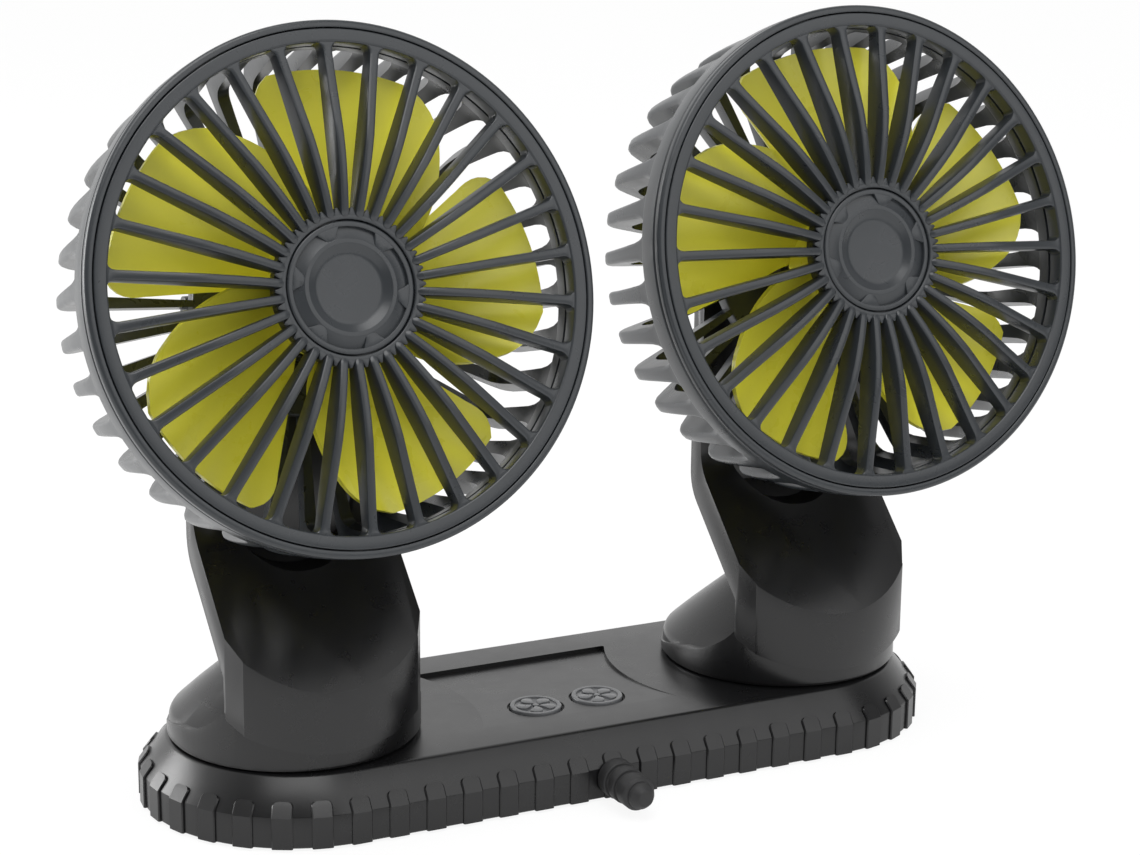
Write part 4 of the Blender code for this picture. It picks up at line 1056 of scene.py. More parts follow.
    def button(self, side: Side) -> None:
        """Build one push button with its symbol of five leaves.

        Args:
            side: Which of the two buttons.
        """
        top = min(self.top_z, self.tray_z(self.button_y)) + self.button_proud
        crown = top + self.button_rim_rise
        under = self.top_z - self.wall - self.button_gap
        rim, inner = self.button_radius, self.button_radius - self.button_rim_width
        collar, collar_low = rim + self.button_collar, under - 0.0012
        plunger, plunger_low = 0.0022, under - 0.0022
        body = Solid.revolved(fillet([
            (0, top), (inner, top), (inner, crown), (rim, crown), (rim, under), (collar, under),
            (collar, collar_low), (plunger, collar_low), (plunger, plunger_low), (0, plunger_low)],
            [0, 0.0001, 0.0003, 0.0003, 0, 0, 0, 0, 0, 0], 4), 64)
        leaf = arc((0.0036, 0.0005), 0.0018, -1.1, math.pi * 0.86, 12)
        leaf += [(0.0012, 0.0004), (0.0012, -0.0002), (0.0026, -0.0004)]
        sunk = top - self.button_proud
        symbol = self.shop.round.run(
            Solid.prism(leaf, sunk, crown, self.symbol_ease), self.shop.finishes.button,
            Count=self.button_leaves, Start=0.4)
        dot = Solid.cylinder(0.0009, sunk, crown, edge=self.symbol_ease, steps=24)
        self.shop.seat(body.plus(symbol, dot), f"speed_button_{side.value}", f"button_{side.value}",
                       "button_plastic", Matrix.Translation((side.sign * self.button_x, self.button_y, 0)))

    def boot(self) -> None:
        """Build the ribbed strain relief with its glossy end."""
        flange, neck = 0.0028, 0.0021
        flange_back, flange_front = -0.0037, -0.0025
        outer = [(0, flange_back), (flange, flange_back), (flange, flange_front),
                 (neck, flange_front), (neck, self.boot_rings[0][1])]
        for radius, low, high in self.boot_rings:
            waist = radius - self.boot_waist
            outer += [(radius, low), (radius, high), (waist, high), (waist, high + 0.0013)]
        shoulder, end_radius, end_front = 0.0146, 0.0036, 0.0158
        outer = outer[:-2] + [(0.0038, shoulder), (0, shoulder)]
        body = Solid.revolved(fillet(outer, [0.0004] * len(outer), 3), 48)
        end = Solid.revolved(fillet([
            (0, shoulder - 0.0006), (end_radius, shoulder - 0.0006), (end_radius, end_front),
            (neck, self.boot_length), (0, self.boot_length)], [0, 0.0003, 0.0010, 0.0009, 0], 5), 48)
        for face in end.data.faces:
            face.material_index = 1
        self.shop.seat(body.plus(end), "cord_boot", "base", "black_rubber", self.boot_place(),
                       (self.shop.finishes.sealed,))

    def build(self) -> None:
        """Build the whole base."""
        self.shell()
        self.mat()
        self.boot()
        for side in Side:
            self.button(side)


# The pods


@dataclass
class Pod:
    """Round foot and the yoke that rises from it, in a frame on the turning axis."""

    shop: Workshop
    side: Side
    x: float = 0.0740
    y: float = -0.0010
    radius: float = 0.0334
    low_z: float = 0.0182
    foot_gap: float = 0.0003
    dome_inset: float = 0.0006
    dome: tuple[Point, ...] = ((0, 0.0440), (0.0130, 0.0412), (0.0262, 0.0300))
    dome_rim_z: float = 0.0240
    scoop_centre: Point = (-0.0050, 0.0442)
    scoop_radius: float = 0.0190
    scoop_ledge: Point = (0.0135, 0.0206)
    spine_half: float = 0.0140
    spine_overlap: float = 0.0006
    spine_front_y: float = -0.0145
    spine_end: Point = (0.0320, 0.0215)
    stub_radius: float = 0.0100
    stub_waist: float = 0.0088
    stub_low_z: float = 0.0125
    stub_bore: float = 0.0060
    clip_low_z: float = 0.0137
    clip_high_z: float = 0.0155
    rebate_width: float = 0.0008
    rebate_rise: float = 0.0009
    screw_x: float = 0.0110
    screw_y: float = -0.0250
    screw_radius: float = 0.0016
    screw_head_radius: float = 0.0027
    screw_head_z: float = 0.0250
    neck_radius: float = 0.03635
    half_width: float = 0.0265
    lean: float = math.radians(46.13)
    edge_z: float = 0.0398
    thick: float = 0.00885
    skirt_front_z: float = 0.0235
    skirt_side_z: float = 0.0300
    skirt_inner_y: float = -0.0200
    bend_radius: float = 0.0120
    arm_front: float = 0.0003
    arm_thick: float = 0.0055
    arm_rise: float = 0.0056
    arm_ease: float = 0.0026
    pivot_z: float = 0.1298
    pin_radius: float = 0.0016
    facet_width: float = 0.0028
    facet_front_y: float = -0.0273
    facet_back_y: float = -0.0224
    slot_half_width: float = 0.0145
    slot_floor_z: float = 0.1085
    slot_corner: float = 0.0080
    recess_half_width: float = 0.0178
    recess_floor_z: float = 0.0643
    recess_corner: float = 0.0168
    recess_wall: float = 0.0030
    ease: float = 0.0005
    ease_above: float = 32.0

    @property
    def place(self) -> Matrix:
        """Place of the pod's own frame."""
        return Matrix.Translation((self.side.sign * self.x, self.y, 0))

    @property
    def thick_z(self) -> float:
        """Thickness of the neck measured upwards."""
        return self.thick / math.sin(self.lean)

    def back_z(self, y: float) -> float:
        """Give the height of the neck's slanted back plane."""
        return self.edge_z + (y + self.neck_radius) / math.tan(self.lean) - self.thick_z

    def below_neck(self, radius: float, low: float, gap: float) -> Solid:
        """Stand a cylinder cut off under the neck's slanted back plane.

        Args:
            radius: Its radius.
            low: Its lower end.
            gap: Distance to the back plane, square to it.

        Returns:
            The cylinder.
        """
        lift, tall = gap / math.sin(self.lean), 0.060
        above = [(-FAR, self.back_z(-FAR) - lift), (FAR, self.back_z(FAR) - lift), (FAR, HIGH), (-FAR, HIGH)]
        return Solid.cylinder(radius, low, tall, steps=128).cut(Solid.prism(above, -FAR, FAR, 0, IN_YZ))

    def seat(self, solid: Solid, piece: str) -> None:
        """Ease a piece of the pod and seat it.

        Args:
            solid: The shape.
            piece: Its node's name without the side.
        """
        side = self.side.value
        self.shop.seat(solid.eased(self.ease, self.ease_above), f"{piece}_{side}", f"pod_{side}",
                       "black_plastic", self.place)

    def foot(self) -> None:
        """Build the turntable foot: domed back, spine, a scoop at each side and the stub below."""
        foot = self.below_neck(self.radius, self.low_z, self.foot_gap)
        scoop = arc(self.scoop_centre, self.scoop_radius, math.pi, 1.5 * math.pi, 28)
        scoop += [self.scoop_ledge, (FAR, self.scoop_ledge[1]), (FAR, HIGH),
                  (self.scoop_centre[0] - self.scoop_radius, HIGH)]
        start, half = self.spine_front_y, self.spine_half
        spine = [(start, self.back_z(start) - self.foot_gap), self.spine_end, (FAR, self.spine_end[1]),
                 (FAR, HIGH), (start, HIGH)]
        wide = half + self.spine_overlap
        foot = foot.cut(Solid.prism(scoop, -FAR, -half, 0, IN_YZ), Solid.prism(scoop, half, FAR, 0, IN_YZ),
                        Solid.prism(spine, -wide, wide, 0, IN_YZ))
        rim, floor = self.radius - self.dome_inset, self.low_z + self.dome_inset
        dome = Solid.revolved(fillet([*self.dome, (rim, self.dome_rim_z), (rim, floor), (0, floor)],
                                     [0, 0.008, 0.010, 0.0035, 0, 0], 6), 128)
        stub = Solid.revolved([
            (0, floor), (self.stub_radius, floor), (self.stub_radius, self.clip_high_z),
            (self.stub_waist, self.clip_high_z), (self.stub_waist, self.clip_low_z),
            (self.stub_radius, self.clip_low_z), (self.stub_radius, self.stub_low_z),
            (0, self.stub_low_z)], 48)
        foot = foot.join(dome, stub)
        lip, high = self.radius - self.rebate_width, self.low_z + self.rebate_rise
        bore_top, screw_top = 0.032, 0.060
        tools = [Solid.cylinder(self.stub_bore, self.stub_low_z - CLEAR, bore_top, steps=32),
                 Solid.revolved([(lip, 0), (FAR, 0), (FAR, high), (lip, high)], 128, True)]
        low = self.low_z - CLEAR
        for x in (-self.screw_x, self.screw_x):
            at = (x, self.screw_y)
            tools.append(Solid.cylinder(self.screw_head_radius, low, self.screw_head_z, at, steps=24))
            tools.append(Solid.cylinder(self.screw_radius, low, screw_top, at, steps=24))
        self.seat(foot.cut(*tools), "pod_foot")

    @staticmethod
    def round_slot(half: float, floor: float, corner: float) -> list[Point]:
        """Outline a slot that is open above and round at the foot of both sides."""
        return fillet([(-half, floor), (half, floor), (half, HIGH), (-half, HIGH)],
                      [corner, corner, 0, 0], 10, True)

    def yoke(self) -> None:
        """Build the front wall, the slanted neck and the two arms."""
        front, inner = -self.neck_radius - CLEAR, self.skirt_inner_y
        run = self.neck_radius - math.sqrt(self.neck_radius ** 2 - self.half_width ** 2)
        slope = (self.skirt_side_z - self.skirt_front_z) / run
        skirt = [self.skirt_front_z + slope * (y + self.neck_radius) for y in (inner, front)]
        arm, back = self.arm_front, self.arm_front + self.arm_thick
        top = self.pivot_z + self.arm_rise
        outline = fillet([
            (front, self.back_z(front) + self.thick_z), (arm, self.back_z(arm) + self.thick_z),
            (arm, top), (back, top), (back, self.back_z(back)), (inner, self.back_z(inner)),
            (inner, skirt[0]), (front, skirt[1])],
            [0, self.bend_radius, self.arm_ease, self.arm_ease, self.bend_radius, 0, 0, 0], 8, True)
        narrow, wide = self.half_width - self.facet_width, self.half_width + CLEAR
        slant = (self.facet_back_y - self.facet_front_y) / self.facet_width
        half = [(narrow, -FAR), (narrow, self.facet_front_y), (wide, self.facet_back_y + slant * CLEAR),
                (wide, FAR)]
        yoke = Solid.prism(outline, -self.half_width, self.half_width, 0, IN_YZ).boolean(
            "INTERSECT", Solid.cylinder(self.neck_radius, 0, HIGH, steps=192),
            Solid.prism(half + [(-x, y) for x, y in reversed(half)], 0, HIGH))
        bore = Solid.cylinder(self.pin_radius, -FAR / 2, FAR / 2, steps=32).moved(
            Matrix.Translation((0, (arm + back) / 2, self.pivot_z)) @ Matrix.Rotation(math.pi / 2, 4, "Y"))
        reach, across = 0.05, 0.03
        behind = [(y, self.back_z(y) + self.recess_wall / math.sin(self.lean)) for y in (-FAR, FAR)]
        behind += [(FAR, HIGH + reach), (-FAR, HIGH + reach)]
        recess = Solid.prism(
            self.round_slot(self.recess_half_width, self.recess_floor_z, self.recess_corner),
            self.recess_wall - back, reach, 0, IN_XZ)
        slot = Solid.prism(self.round_slot(self.slot_half_width, self.slot_floor_z, self.slot_corner),
                           -reach, reach, 0, IN_XZ)
        self.seat(yoke.cut(
            self.below_neck(self.radius + self.foot_gap, 0, 0), bore,
            recess.boolean("INTERSECT", Solid.prism(behind, -across, across, 0, IN_YZ)), slot), "neck_yoke")

    def build(self) -> None:
        """Build the whole pod."""
        self.foot()
        self.yoke()


# The heads


@dataclass(frozen=True)
class Stance:
    """How one head stands at rest, in degrees: its look upwards and where its rounds of parts start."""

    tilt: float
    spokes: float
    lugs: float
    blades: float


STANCES = {Side.LEFT: Stance(17.3, 88.4, 47.0, -14.0), Side.RIGHT: Stance(15.0, 93.2, 75.0, 4.0)}


@dataclass
class Head:
    """Caged fan head in a frame on the tilt pivot, with its own +Z along the wind."""

    shop: Workshop
    side: Side
    pivot: tuple[float, float, float] = (0.0740, 0.00205, 0.1298)
    front: float = 0.04825
    steps: int = 180
    ring_radius: float = 0.0646
    ring_inner: float = 0.0627
    ring_step_depth: float = 0.0055
    ring_line_width: float = 0.0005
    grille_radius: float = 0.0624
    grille_inner: float = 0.0591
    grille_depth: float = 0.0050
    spokes: int = 30
    spoke_end: float = 0.0170
    spoke_tip: float = 0.00105
    spoke_flare: float = 0.0020
    hub_radius: float = 0.0190
    hub_step: float = 0.0178
    hub_step_depth: float = 0.0006
    hub_hole: float = 0.0164
    hub_rise: float = 0.0006
    hub_floor: float = 0.0016
    seat_depth: float = 0.0022
    cap_radius: float = 0.0161
    cap_rise: float = 0.0004
    cap_gap: float = 0.0003
    cap_rim: float = 0.0147
    lugs: int = 6
    lug_half: float = math.radians(11)
    band_depth: float = 0.0100
    band_inner: float = 0.0590
    ribs: int = 36
    rib_ease: float = 0.0012
    back_depth: float = 0.0400
    rear_ring_radius: float = 0.0280
    rear_seat_radius: float = 0.0246
    rear_seat_depth: float = 0.0026
    rear_plate_depth: float = 0.0048
    rear_hole: float = 0.0150
    cover_screws: int = 3
    cover_screw_circle: float = 0.0193
    cover_radius: float = 0.0243
    cover_rise: float = 0.0023
    can_radius: float = 0.0125
    can_sleeve: float = 0.0147
    can_sleeve_depth: float = 0.0120
    knuckle_half: float = 0.0133
    knuckle_radius: float = 0.0042
    web_half: float = 0.0036
    pin_radius: float = 0.0016
    blades: int = 5
    blade_root: float = 0.0142
    blade_tip: float = 0.0552
    blade_depth: float = 0.0140
    blade_thick: float = 0.0014
    blade_sweep: float = math.radians(22.5)
    cup_radius: float = 0.0150
    cup_inner: float = 0.0134
    cup_length: float = 0.0160
    cup_depth: float = 0.0044
    shaft_radius: float = 0.0015

    @property
    def stance(self) -> Stance:
        """The angles of this head."""
        return STANCES[self.side]

    @property
    def place(self) -> Matrix:
        """Place of the head's own frame.

        Returns:
            The matrix that puts the tilt pivot at its height and turns +Z into the head's look.
        """
        x, y, z = self.pivot
        return Matrix.Translation((self.side.sign * x, y, z)) @ Matrix.Rotation(
            math.pi / 2 - math.radians(self.stance.tilt), 4, "X")

    def ahead(self, depth: float) -> float:
        """Turn a depth behind the ring's front plane into a height above the pivot."""
        return self.front - depth

    def seat(self, solid: Solid, piece: str, slot: str, body: str = "head") -> None:
        """Seat a piece of the head.

        Args:
            solid: The shape.
            piece: Its node's name without the side.
            slot: The record's material slot.
            body: Its body's name without the side.
        """
        side = self.side.value
        self.shop.seat(solid, f"{piece}_{side}", f"{body}_{side}", slot, self.place)

    @staticmethod
    def between(table: Sequence[Point], place: float) -> float:
        """Read a table with straight lines between its rows.

        Args:
            table: Rows of place and value, in order.
            place: Where it is read.

        Returns:
            The value there.
        """
        for (low, first), (high, second) in zip(table, table[1:]):
            if place <= high:
                return first + (second - first) * max(0.0, place - low) / (high - low)
        return table[-1][1]

    def spoke(self) -> Solid:
        """Shape one bowed spoke: round at its inner end and flared where it meets the ring.

        Returns:
            The spoke along +X.
        """
        rise = [(0.0172, 0.0011), (0.0200, 0.0017), (0.0240, 0.0024), (0.0290, 0.00295), (0.0330, 0.0031),
                (0.0370, 0.00295), (0.0420, 0.0022), (0.0480, 0.0012), (0.0540, 0.0003), (0.0600, -0.0004)]
        under = [(0.0172, 0.0034), (0.0290, 0.0044), (0.0370, 0.0044), (0.0600, 0.0046)]
        wide = [(0.0172, 0.0021), (0.0300, 0.0022), (0.0600, 0.0025)]
        radii = [self.grille_inner - share for share in (-0.0008, 0.0, 0.0002, 0.0006, 0.0012, 0.0020)]
        radii += [0.0550, 0.0520, 0.0480, 0.0440, 0.0400, 0.0370, 0.0345, 0.0320, 0.0290, 0.0265, 0.0240,
                  0.0210]
        radii += [self.spoke_end + share for share in (0.0016, 0.0011, 0.0007, 0.0004, 0.0002, 0.00005)]
        flare, tip = self.spoke_flare, self.spoke_tip
        rings = []
        for radius in radii:
            half = self.between(wide, radius) / 2
            near = flare - max(0.0, self.grille_inner - radius)
            if near > 0:
                half += flare - math.sqrt(flare ** 2 - min(near, flare) ** 2) * 0.8 - flare * 0.2
            past = self.spoke_end + tip - radius
            if past > 0:
                half *= math.sqrt(max(0.02, 1 - (past / tip) ** 2))
            top = self.ahead(-self.between(rise, radius)) - max(0.0, past) * 0.35
            bottom = self.ahead(self.between(under, radius))
            ease = min(0.0006, half * 0.55)
            side = [(half, bottom), (half, top - ease), (half - ease * 0.3, top - ease * 0.3),
                    (half - ease, top)]
            section = side + [(-y, z) for y, z in reversed(side)]
            rings.append([(radius, y, z) for y, z in section])
        return Solid.lofted(rings)

    def grille(self) -> None:
        """Build the front ring, the spokes and the hub ring with its teeth."""
        finish = self.shop.finishes.cage
        front, back = self.ahead(0), self.ahead(self.grille_depth)
        ring = Solid.revolved(fillet([
            (self.grille_inner, front), (self.grille_radius, front), (self.grille_radius, back),
            (self.grille_inner, back)], [0.0006, 0.0003, 0, 0.0004], 4, True), self.steps, True)
        start = math.radians(self.stance.spokes)
        spokes = self.shop.round.run(self.spoke(), finish, Count=self.spokes, Start=start)
        rise, seat = self.ahead(-self.hub_rise), self.ahead(self.seat_depth)
        floor, low = seat - self.hub_floor, self.ahead(self.hub_step_depth)
        hub = Solid.revolved(fillet([
            (0, seat), (self.hub_hole, seat), (self.hub_hole, rise), (self.hub_step, rise),
            (self.hub_step, low), (self.hub_radius, low), (self.hub_radius, floor), (0, floor)],
            [0, 0, 0.0003, 0.0003, 0, 0.0003, 0, 0], 3), 120)
        root, tip = 0.0172, 0.0193
        tooth = Solid.prism(fillet(
            [(root, -0.00125), (tip, -0.0003), (tip, 0.0003), (root, 0.00125)],
            [0, 0.0003, 0.0003, 0], 3, True), low - 0.0008, rise + 0.00002, 0.00025)
        teeth = self.shop.round.run(tooth, finish, Count=self.spokes, Start=start + math.pi / self.spokes)
        self.seat(ring.plus(spokes, hub, teeth), "front_grille", "slate_plastic")

    def cap(self) -> None:
        """Build the hub cap: a dish, a crest and six lugs that reach in from the rim."""
        rise, seat = self.ahead(-self.cap_rise), self.ahead(self.seat_depth - self.cap_gap)
        ditch = rise - 0.0010
        cap = Solid.revolved(fillet([
            (0, rise - 0.0013), (0.0085, rise - 0.0012), (0.0107, rise), (0.0117, rise), (0.0145, ditch),
            (self.cap_rim, ditch), (self.cap_rim, rise), (self.cap_radius, rise), (self.cap_radius, seat),
            (0, seat)], [0, 0.0030, 0.0006, 0.0005, 0, 0, 0.0002, 0.0005, 0, 0], 5), 144)
        root = arc((0, 0), 0.0151, -self.lug_half * 1.12, self.lug_half * 1.12, 8)
        tip = arc((0.0137, 0), 0.0020, math.pi * 0.62, math.pi * 1.38, 8)
        lugs = self.shop.round.run(
            Solid.prism(root + tip, rise - 0.0012, rise - 0.00005, 0.0002), self.shop.finishes.cage,
            Count=self.lugs, Start=math.radians(self.stance.lugs))
        self.seat(cap.plus(lugs), "hub_cap", "slate_plastic")

    def rib(self) -> Solid:
        """Shape one rib: wide where it leaves the band, narrow at its nose and at the rear ring.

        Returns:
            The rib along +X, lofted through stations of outer point, inner point and width.
        """
        stations = [
            ((0.0640, 0.0092), (0.0594, 0.0092), 0.0111), ((0.0640, 0.0098), (0.0595, 0.0098), 0.0096),
            ((0.0640, 0.0104), (0.0595, 0.0104), 0.0080), ((0.0640, 0.0114), (0.0595, 0.0114), 0.0068),
            ((0.0640, 0.0130), (0.0595, 0.0130), 0.0057), ((0.0640, 0.0155), (0.0592, 0.0155), 0.0048),
            ((0.0636, 0.0220), (0.0583, 0.0210), 0.0042), ((0.0630, 0.0285), (0.0574, 0.0270), 0.0038),
            ((0.0624, 0.0330), (0.0568, 0.0302), 0.0036), ((0.0620, 0.0352), (0.0562, 0.0320), 0.0036),
            ((0.0611, 0.0370), (0.0553, 0.0332), 0.0036), ((0.0596, 0.0382), (0.0543, 0.0340), 0.0036),
            ((0.0572, 0.0386), (0.0530, 0.0343), 0.0035), ((0.0500, 0.0389), (0.0490, 0.0345), 0.0032),
            ((0.0380, 0.0393), (0.0378, 0.0349), 0.0026), ((0.0263, 0.0397), (0.0263, 0.0353), 0.0020)]
        rings = []
        for outer, inner, width in stations:
            half = width / 2
            ease = min(self.rib_ease, half * 0.6)
            length = math.dist(outer, inner)
            line = [(0.0, -half + 0.0002), (0.0, half - 0.0002)]
            line += [(length - ease + ease * math.sin(turn), half - ease + ease * math.cos(turn))
                     for turn in (0.0, math.pi / 6, math.pi / 3, math.pi / 2)]
            line += [(s, -y) for s, y in reversed(line[2:])]
            rings.append([
                (inner[0] + (outer[0] - inner[0]) * s / length, y,
                 self.ahead(inner[1] + (outer[1] - inner[1]) * s / length)) for s, y in line])
        return Solid.lofted(rings)

    def cage(self) -> None:
        """Build the outer ring, the band, the ribs and the rear ring."""
        finish = self.shop.finishes.cage
        rim, band = self.ring_radius, self.ahead(self.band_depth)
        line, step = rim - self.ring_line_width, self.ahead(self.ring_step_depth)
        ring = Solid.revolved(fillet([
            (self.ring_inner, self.ahead(0)), (rim, self.ahead(0)), (rim, self.ahead(0.0022)),
            (line, self.ahead(0.0024)), (line, self.ahead(0.0029)), (rim, self.ahead(0.0031)),
            (rim - 0.0002, band), (self.band_inner, band), (self.band_inner, step), (self.ring_inner, step)],
            [0.0003, 0.0011, 0.0003, 0, 0, 0.0003, 0.0008, 0.0008, 0, 0], 4, True), self.steps, True)
        ribs = self.shop.round.run(self.rib(), finish, Count=self.ribs, Start=math.pi / self.ribs)
        plate, back = self.ahead(self.back_depth - self.rear_plate_depth), self.ahead(self.back_depth)
        seat = self.ahead(self.back_depth - self.rear_seat_depth)
        hub = Solid.revolved(fillet([
            (self.rear_hole, plate), (self.rear_ring_radius, plate), (self.rear_ring_radius, back),
            (self.rear_seat_radius, back), (self.rear_seat_radius, seat), (self.rear_hole, seat)],
            [0, 0.0005, 0.0009, 0.0003, 0, 0], 4, True), 96, True)
        boss = Solid.cylinder(0.0028, plate - 0.0006, plate + 0.0034, (self.cover_screw_circle, 0),
                              0.0003, 24)
        bosses = self.shop.round.run(boss, finish, Count=self.cover_screws, Start=0.0)
        self.seat(ring.plus(ribs, hub, bosses), "rear_cage", "slate_plastic")

    def cover(self) -> None:
        """Build the motor cover with the knuckle between the yoke's arms."""
        back = self.ahead(self.back_depth)
        inner = back + self.cover_rise
        sleeve = inner + self.can_sleeve_depth
        cover = Solid.revolved(fillet([
            (0, inner), (self.can_radius, inner), (self.can_radius, sleeve), (self.can_sleeve, sleeve),
            (self.can_sleeve, inner), (self.cover_radius, inner), (self.cover_radius, back), (0, back)],
            [0, 0, 0.0003, 0.0003, 0, 0, 0.0008, 0], 4), 96)
        half, radius, across = self.knuckle_half, self.knuckle_radius, Matrix.Rotation(math.pi / 2, 4, "Y")
        web = Solid.block((-half, -self.web_half, 0), (half, self.web_half, back + 0.0006))
        barrel = Solid.cylinder(radius, -half, half, edge=0.0003, steps=48).moved(across)
        cover = cover.join(web, barrel)
        tools = [Solid.block((-0.0050, -2 * radius, -2 * radius), (0.0050, 2 * radius, back - 0.00115)),
                 Solid.cylinder(self.pin_radius, -0.03, 0.03, steps=32).moved(across)]
        low = back - CLEAR
        for index in range(self.cover_screws):
            turn = math.tau * index / self.cover_screws
            at = (self.cover_screw_circle * math.cos(turn), self.cover_screw_circle * math.sin(turn))
            tools.append(Solid.cylinder(0.0014, low, inner + CLEAR, at, steps=24))
            tools.append(Solid.cylinder(0.0024, low, back + 0.0012, at, steps=24))
        self.seat(cover.cut(*tools).eased(0.0003, 40), "motor_cover", "black_plastic")

    def blade_point(self, across: float, along: float) -> tuple[float, float, float]:
        """Place a point of a blade's middle surface.

        Args:
            across: Share of the chord, from -0.5 to 0.5.
            along: Share of the reach, from 0 at the hub to 1 at the tip.

        Returns:
            The point in the head's frame.
        """
        radius = self.blade_root + (self.blade_tip - self.blade_root) * along
        chords = [(self.blade_root, 68), (0.0250, 72), (0.0340, 66), (0.0450, 57), (self.blade_tip, 52)]
        span = math.radians(self.between(chords, radius))
        rise = 0.0140 - 0.0048 * along
        round_off = max(0.0, (along - 0.6) / 0.4)
        keep = math.sqrt(1 - 0.5 * round_off ** 4)
        turn = self.blade_sweep * along + span * across * keep
        return (radius * math.cos(turn), radius * math.sin(turn),
                self.ahead(self.blade_depth) - rise * across * keep)

    def impeller(self) -> None:
        """Build the hub cup and the swept blades."""
        data = bmesh.new()
        bmesh.ops.create_grid(data, x_segments=28, y_segments=24, size=0.5)
        for corner in data.verts:
            corner.co = self.blade_point(corner.co.x, corner.co.y + 0.5)
        item = Solid(data).scratch("blade")
        skin = item.modifiers.new("skin", "SOLIDIFY")
        skin.thickness = self.blade_thick
        skin.offset = 0
        blade = Solid.from_mesh(evaluated(item))
        discard(item)
        blades = self.shop.round.run(blade, self.shop.finishes.blade, Count=self.blades,
                                     Start=math.radians(self.stance.blades))
        front = self.ahead(self.cup_depth)
        back, roof = front - self.cup_length, front - (self.cup_radius - self.cup_inner)
        can_length, can_gap, boss_radius = 0.024, 0.0018, 0.0036
        boss = self.ahead(self.back_depth - self.rear_seat_depth - can_length) + can_gap
        hub = Solid.revolved(fillet([
            (0, front), (self.cup_radius, front), (self.cup_radius, back), (self.cup_inner, back),
            (self.cup_inner, roof), (boss_radius, roof), (boss_radius, boss), (self.shaft_radius, boss),
            (self.shaft_radius, roof), (0, roof)], [0, 0.0030, 0.0003, 0.0003, 0, 0, 0, 0, 0, 0], 6), 96)
        self.seat(hub.plus(blades), "impeller", "blade_plastic", "rotor")

    def build(self) -> None:
        """Build the whole head."""
        self.cage()
        self.grille()
        self.cap()
        self.cover()
        self.impeller()


# The studio


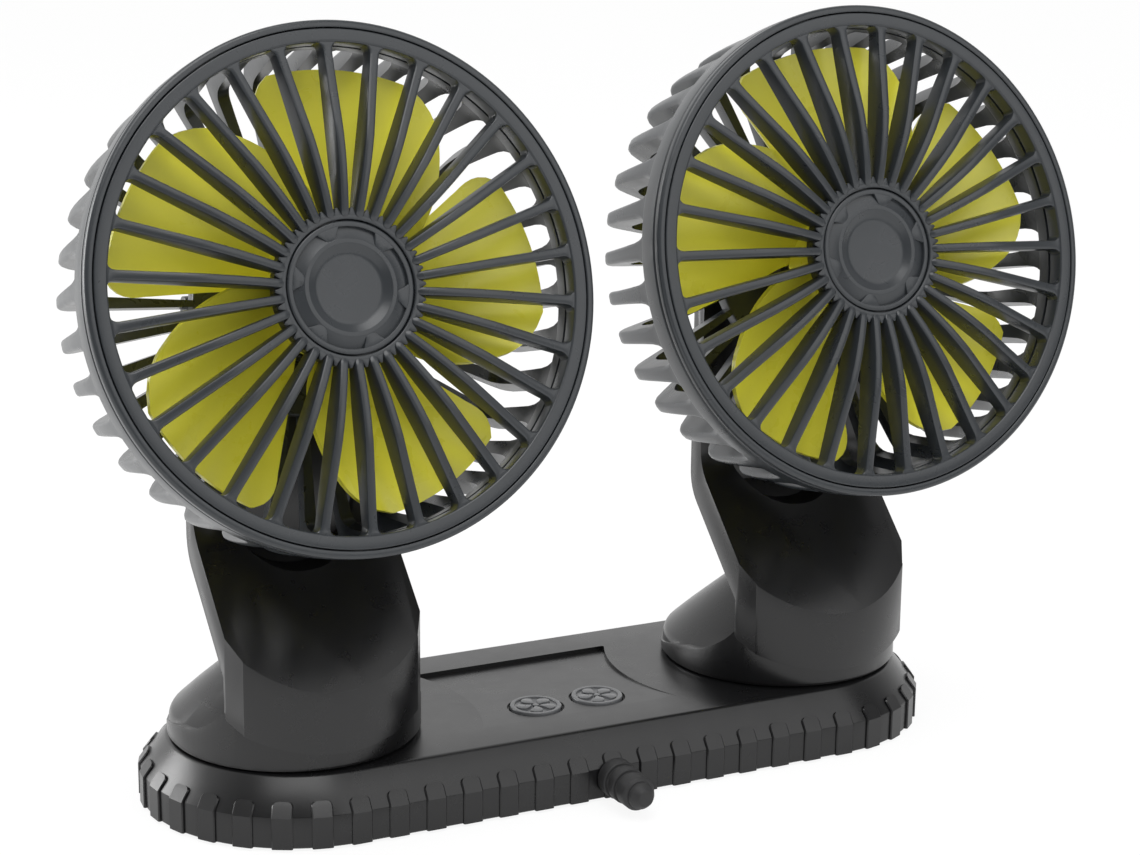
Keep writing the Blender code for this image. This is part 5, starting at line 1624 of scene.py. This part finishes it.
@dataclass
class Studio:
    """Pale floor, soft light and the camera at the photograph's angle."""

    focal: float = 2618.17
    frame_width: float = 1140.0
    sensor_width: float = 36.0
    azimuth: float = math.radians(-26.720)
    elevation: float = math.radians(14.598)
    roll: float = math.radians(0.654)
    distance: float = 0.70979
    target: tuple[float, float, float] = (0.006963, 0.0, 0.090662)
    aim: tuple[float, float, float] = (0.0, 0.0, 0.09)
    ambient: float = 0.79
    front_gloss: float = 0.15
    floor_half: float = 3.0
    floor_z: float = -0.0002
    floor_glow: float = 1.02

    def camera(self) -> None:
        """Set up the camera."""
        lens = bpy.data.cameras.new("camera")
        lens.sensor_fit = "HORIZONTAL"
        lens.sensor_width = self.sensor_width
        lens.lens = self.sensor_width * self.focal / self.frame_width
        lens.clip_start = 0.01
        lens.clip_end = 20.0
        flat = math.cos(self.elevation)
        back = Vector((math.sin(self.azimuth) * flat, -math.cos(self.azimuth) * flat,
                       math.sin(self.elevation)))
        right = (-back).cross(Vector((0, 0, 1))).normalized()
        up = right.cross(-back)
        cos, sin = math.cos(self.roll), math.sin(self.roll)
        turned = (right * cos + up * sin, up * cos - right * sin, back)
        item = bpy.data.objects.new("camera", lens)
        bpy.context.scene.collection.objects.link(item)
        place = Matrix([[turned[column][row] for column in range(3)] for row in range(3)]).to_4x4()
        item.matrix_world = Matrix.Translation(Vector(self.target) + back * self.distance) @ place
        bpy.context.scene.camera = item

    def lamp(self, name: str, place: Sequence[float], size: float, watts: float) -> None:
        """Hang a square soft box that looks at the object.

        Args:
            name: Its name.
            place: Where it hangs.
            size: Width of the box.
            watts: Its power.
        """
        light = bpy.data.lights.new(name, "AREA")
        light.shape = "SQUARE"
        light.size = size
        light.energy = watts
        item = bpy.data.objects.new(name, light)
        bpy.context.scene.collection.objects.link(item)
        look = (Vector(self.aim) - Vector(place)).to_track_quat("-Z", "Y")
        item.matrix_world = Matrix.Translation(place) @ look.to_matrix().to_4x4()

    @staticmethod
    def rays(graph: Graph) -> tuple[Wire, Wire]:
        """Tell camera rays and glossy rays from the others.

        Args:
            graph: The tree that asks.

        Returns:
            1 for a camera ray, and 1 for a glossy ray.
        """
        seen = graph.add("ShaderNodeLightPath", out="Is Camera Ray")
        return seen, Wire(graph, seen.socket.node.outputs["Is Glossy Ray"])

    def world(self) -> None:
        """Light the world: white to the camera, even for soft light, dim in front for reflections."""
        world = bpy.data.worlds.new("room")
        world.use_nodes = True
        bpy.context.scene.world = world
        world.node_tree.nodes.clear()
        graph = Graph(world.node_tree)
        seen, glossy = self.rays(graph)
        way = graph.add("ShaderNodeTexCoord", out="Generated")
        split = graph.add("ShaderNodeSeparateXYZ", None, {0: way}, "Y")
        behind = graph.add("ShaderNodeMapRange", {"interpolation_type": "SMOOTHSTEP"}, {
            "Value": split, "From Min": -0.5, "From Max": 0.5, "To Min": self.front_gloss, "To Max": 1.0})
        indirect = glossy * (behind - self.ambient) + self.ambient
        shine = graph.add("ShaderNodeBackground", None, {
            "Color": WHITE, "Strength": seen * (1 - indirect) + indirect})
        leave = world.node_tree.nodes.new("ShaderNodeOutputWorld")
        world.node_tree.links.new(shine.socket, leave.inputs["Surface"])

    def floor(self) -> None:
        """Lay the pale floor, which glows a little towards the camera and still takes the shadow."""
        half, level = self.floor_half, self.floor_z
        mesh = bpy.data.meshes.new("floor")
        corners = ((-half, -half), (half, -half), (half, half), (-half, half))
        mesh.from_pydata([(x, y, level) for x, y in corners], [], [(0, 1, 2, 3)])
        floor = bpy.data.objects.new("floor", mesh)
        bpy.context.scene.collection.objects.link(floor)
        paint = bpy.data.materials.new("pale_floor")
        paint.use_nodes = True
        shader = paint.node_tree.nodes["Principled BSDF"]
        shader.inputs["Base Color"].default_value = (0.9, 0.9, 0.9, 1)
        shader.inputs["Roughness"].default_value = 0.9
        graph = Graph(paint.node_tree)
        seen, glossy = self.rays(graph)
        glow = graph.add("ShaderNodeEmission", None, {"Color": WHITE, "Strength": self.floor_glow})
        mixed = graph.add("ShaderNodeMixShader", None, {
            0: seen * 0.88 + glossy * 0.5, 1: Wire(graph, shader.outputs[0]), 2: glow})
        paint.node_tree.links.new(mixed.socket, paint.node_tree.nodes["Material Output"].inputs["Surface"])
        mesh.materials.append(paint)

    def build(self) -> None:
        """Build the studio."""
        self.camera()
        self.world()
        self.floor()
        self.lamp("top", (-0.25, -0.45, 1.25), 0.9, 10.0)
        self.lamp("side", (-1.0, 0.80, 0.28), 0.7, 11.0)
        self.lamp("front", (0.55, -1.05, 0.80), 1.1, 5.6)
        bpy.context.scene.view_settings.view_transform = "Standard"


def main() -> None:
    """Build the studio and every sub-assembly."""
    logging.basicConfig(level=logging.INFO, format="%(name)s: %(message)s")
    Studio().build()
    shop = Workshop()
    Base(shop).build()
    for side in Side:
        Pod(shop, side).build()
        Head(shop, side).build()
    shop.dress_the_rest()


if __name__ == "__main__":
    main()
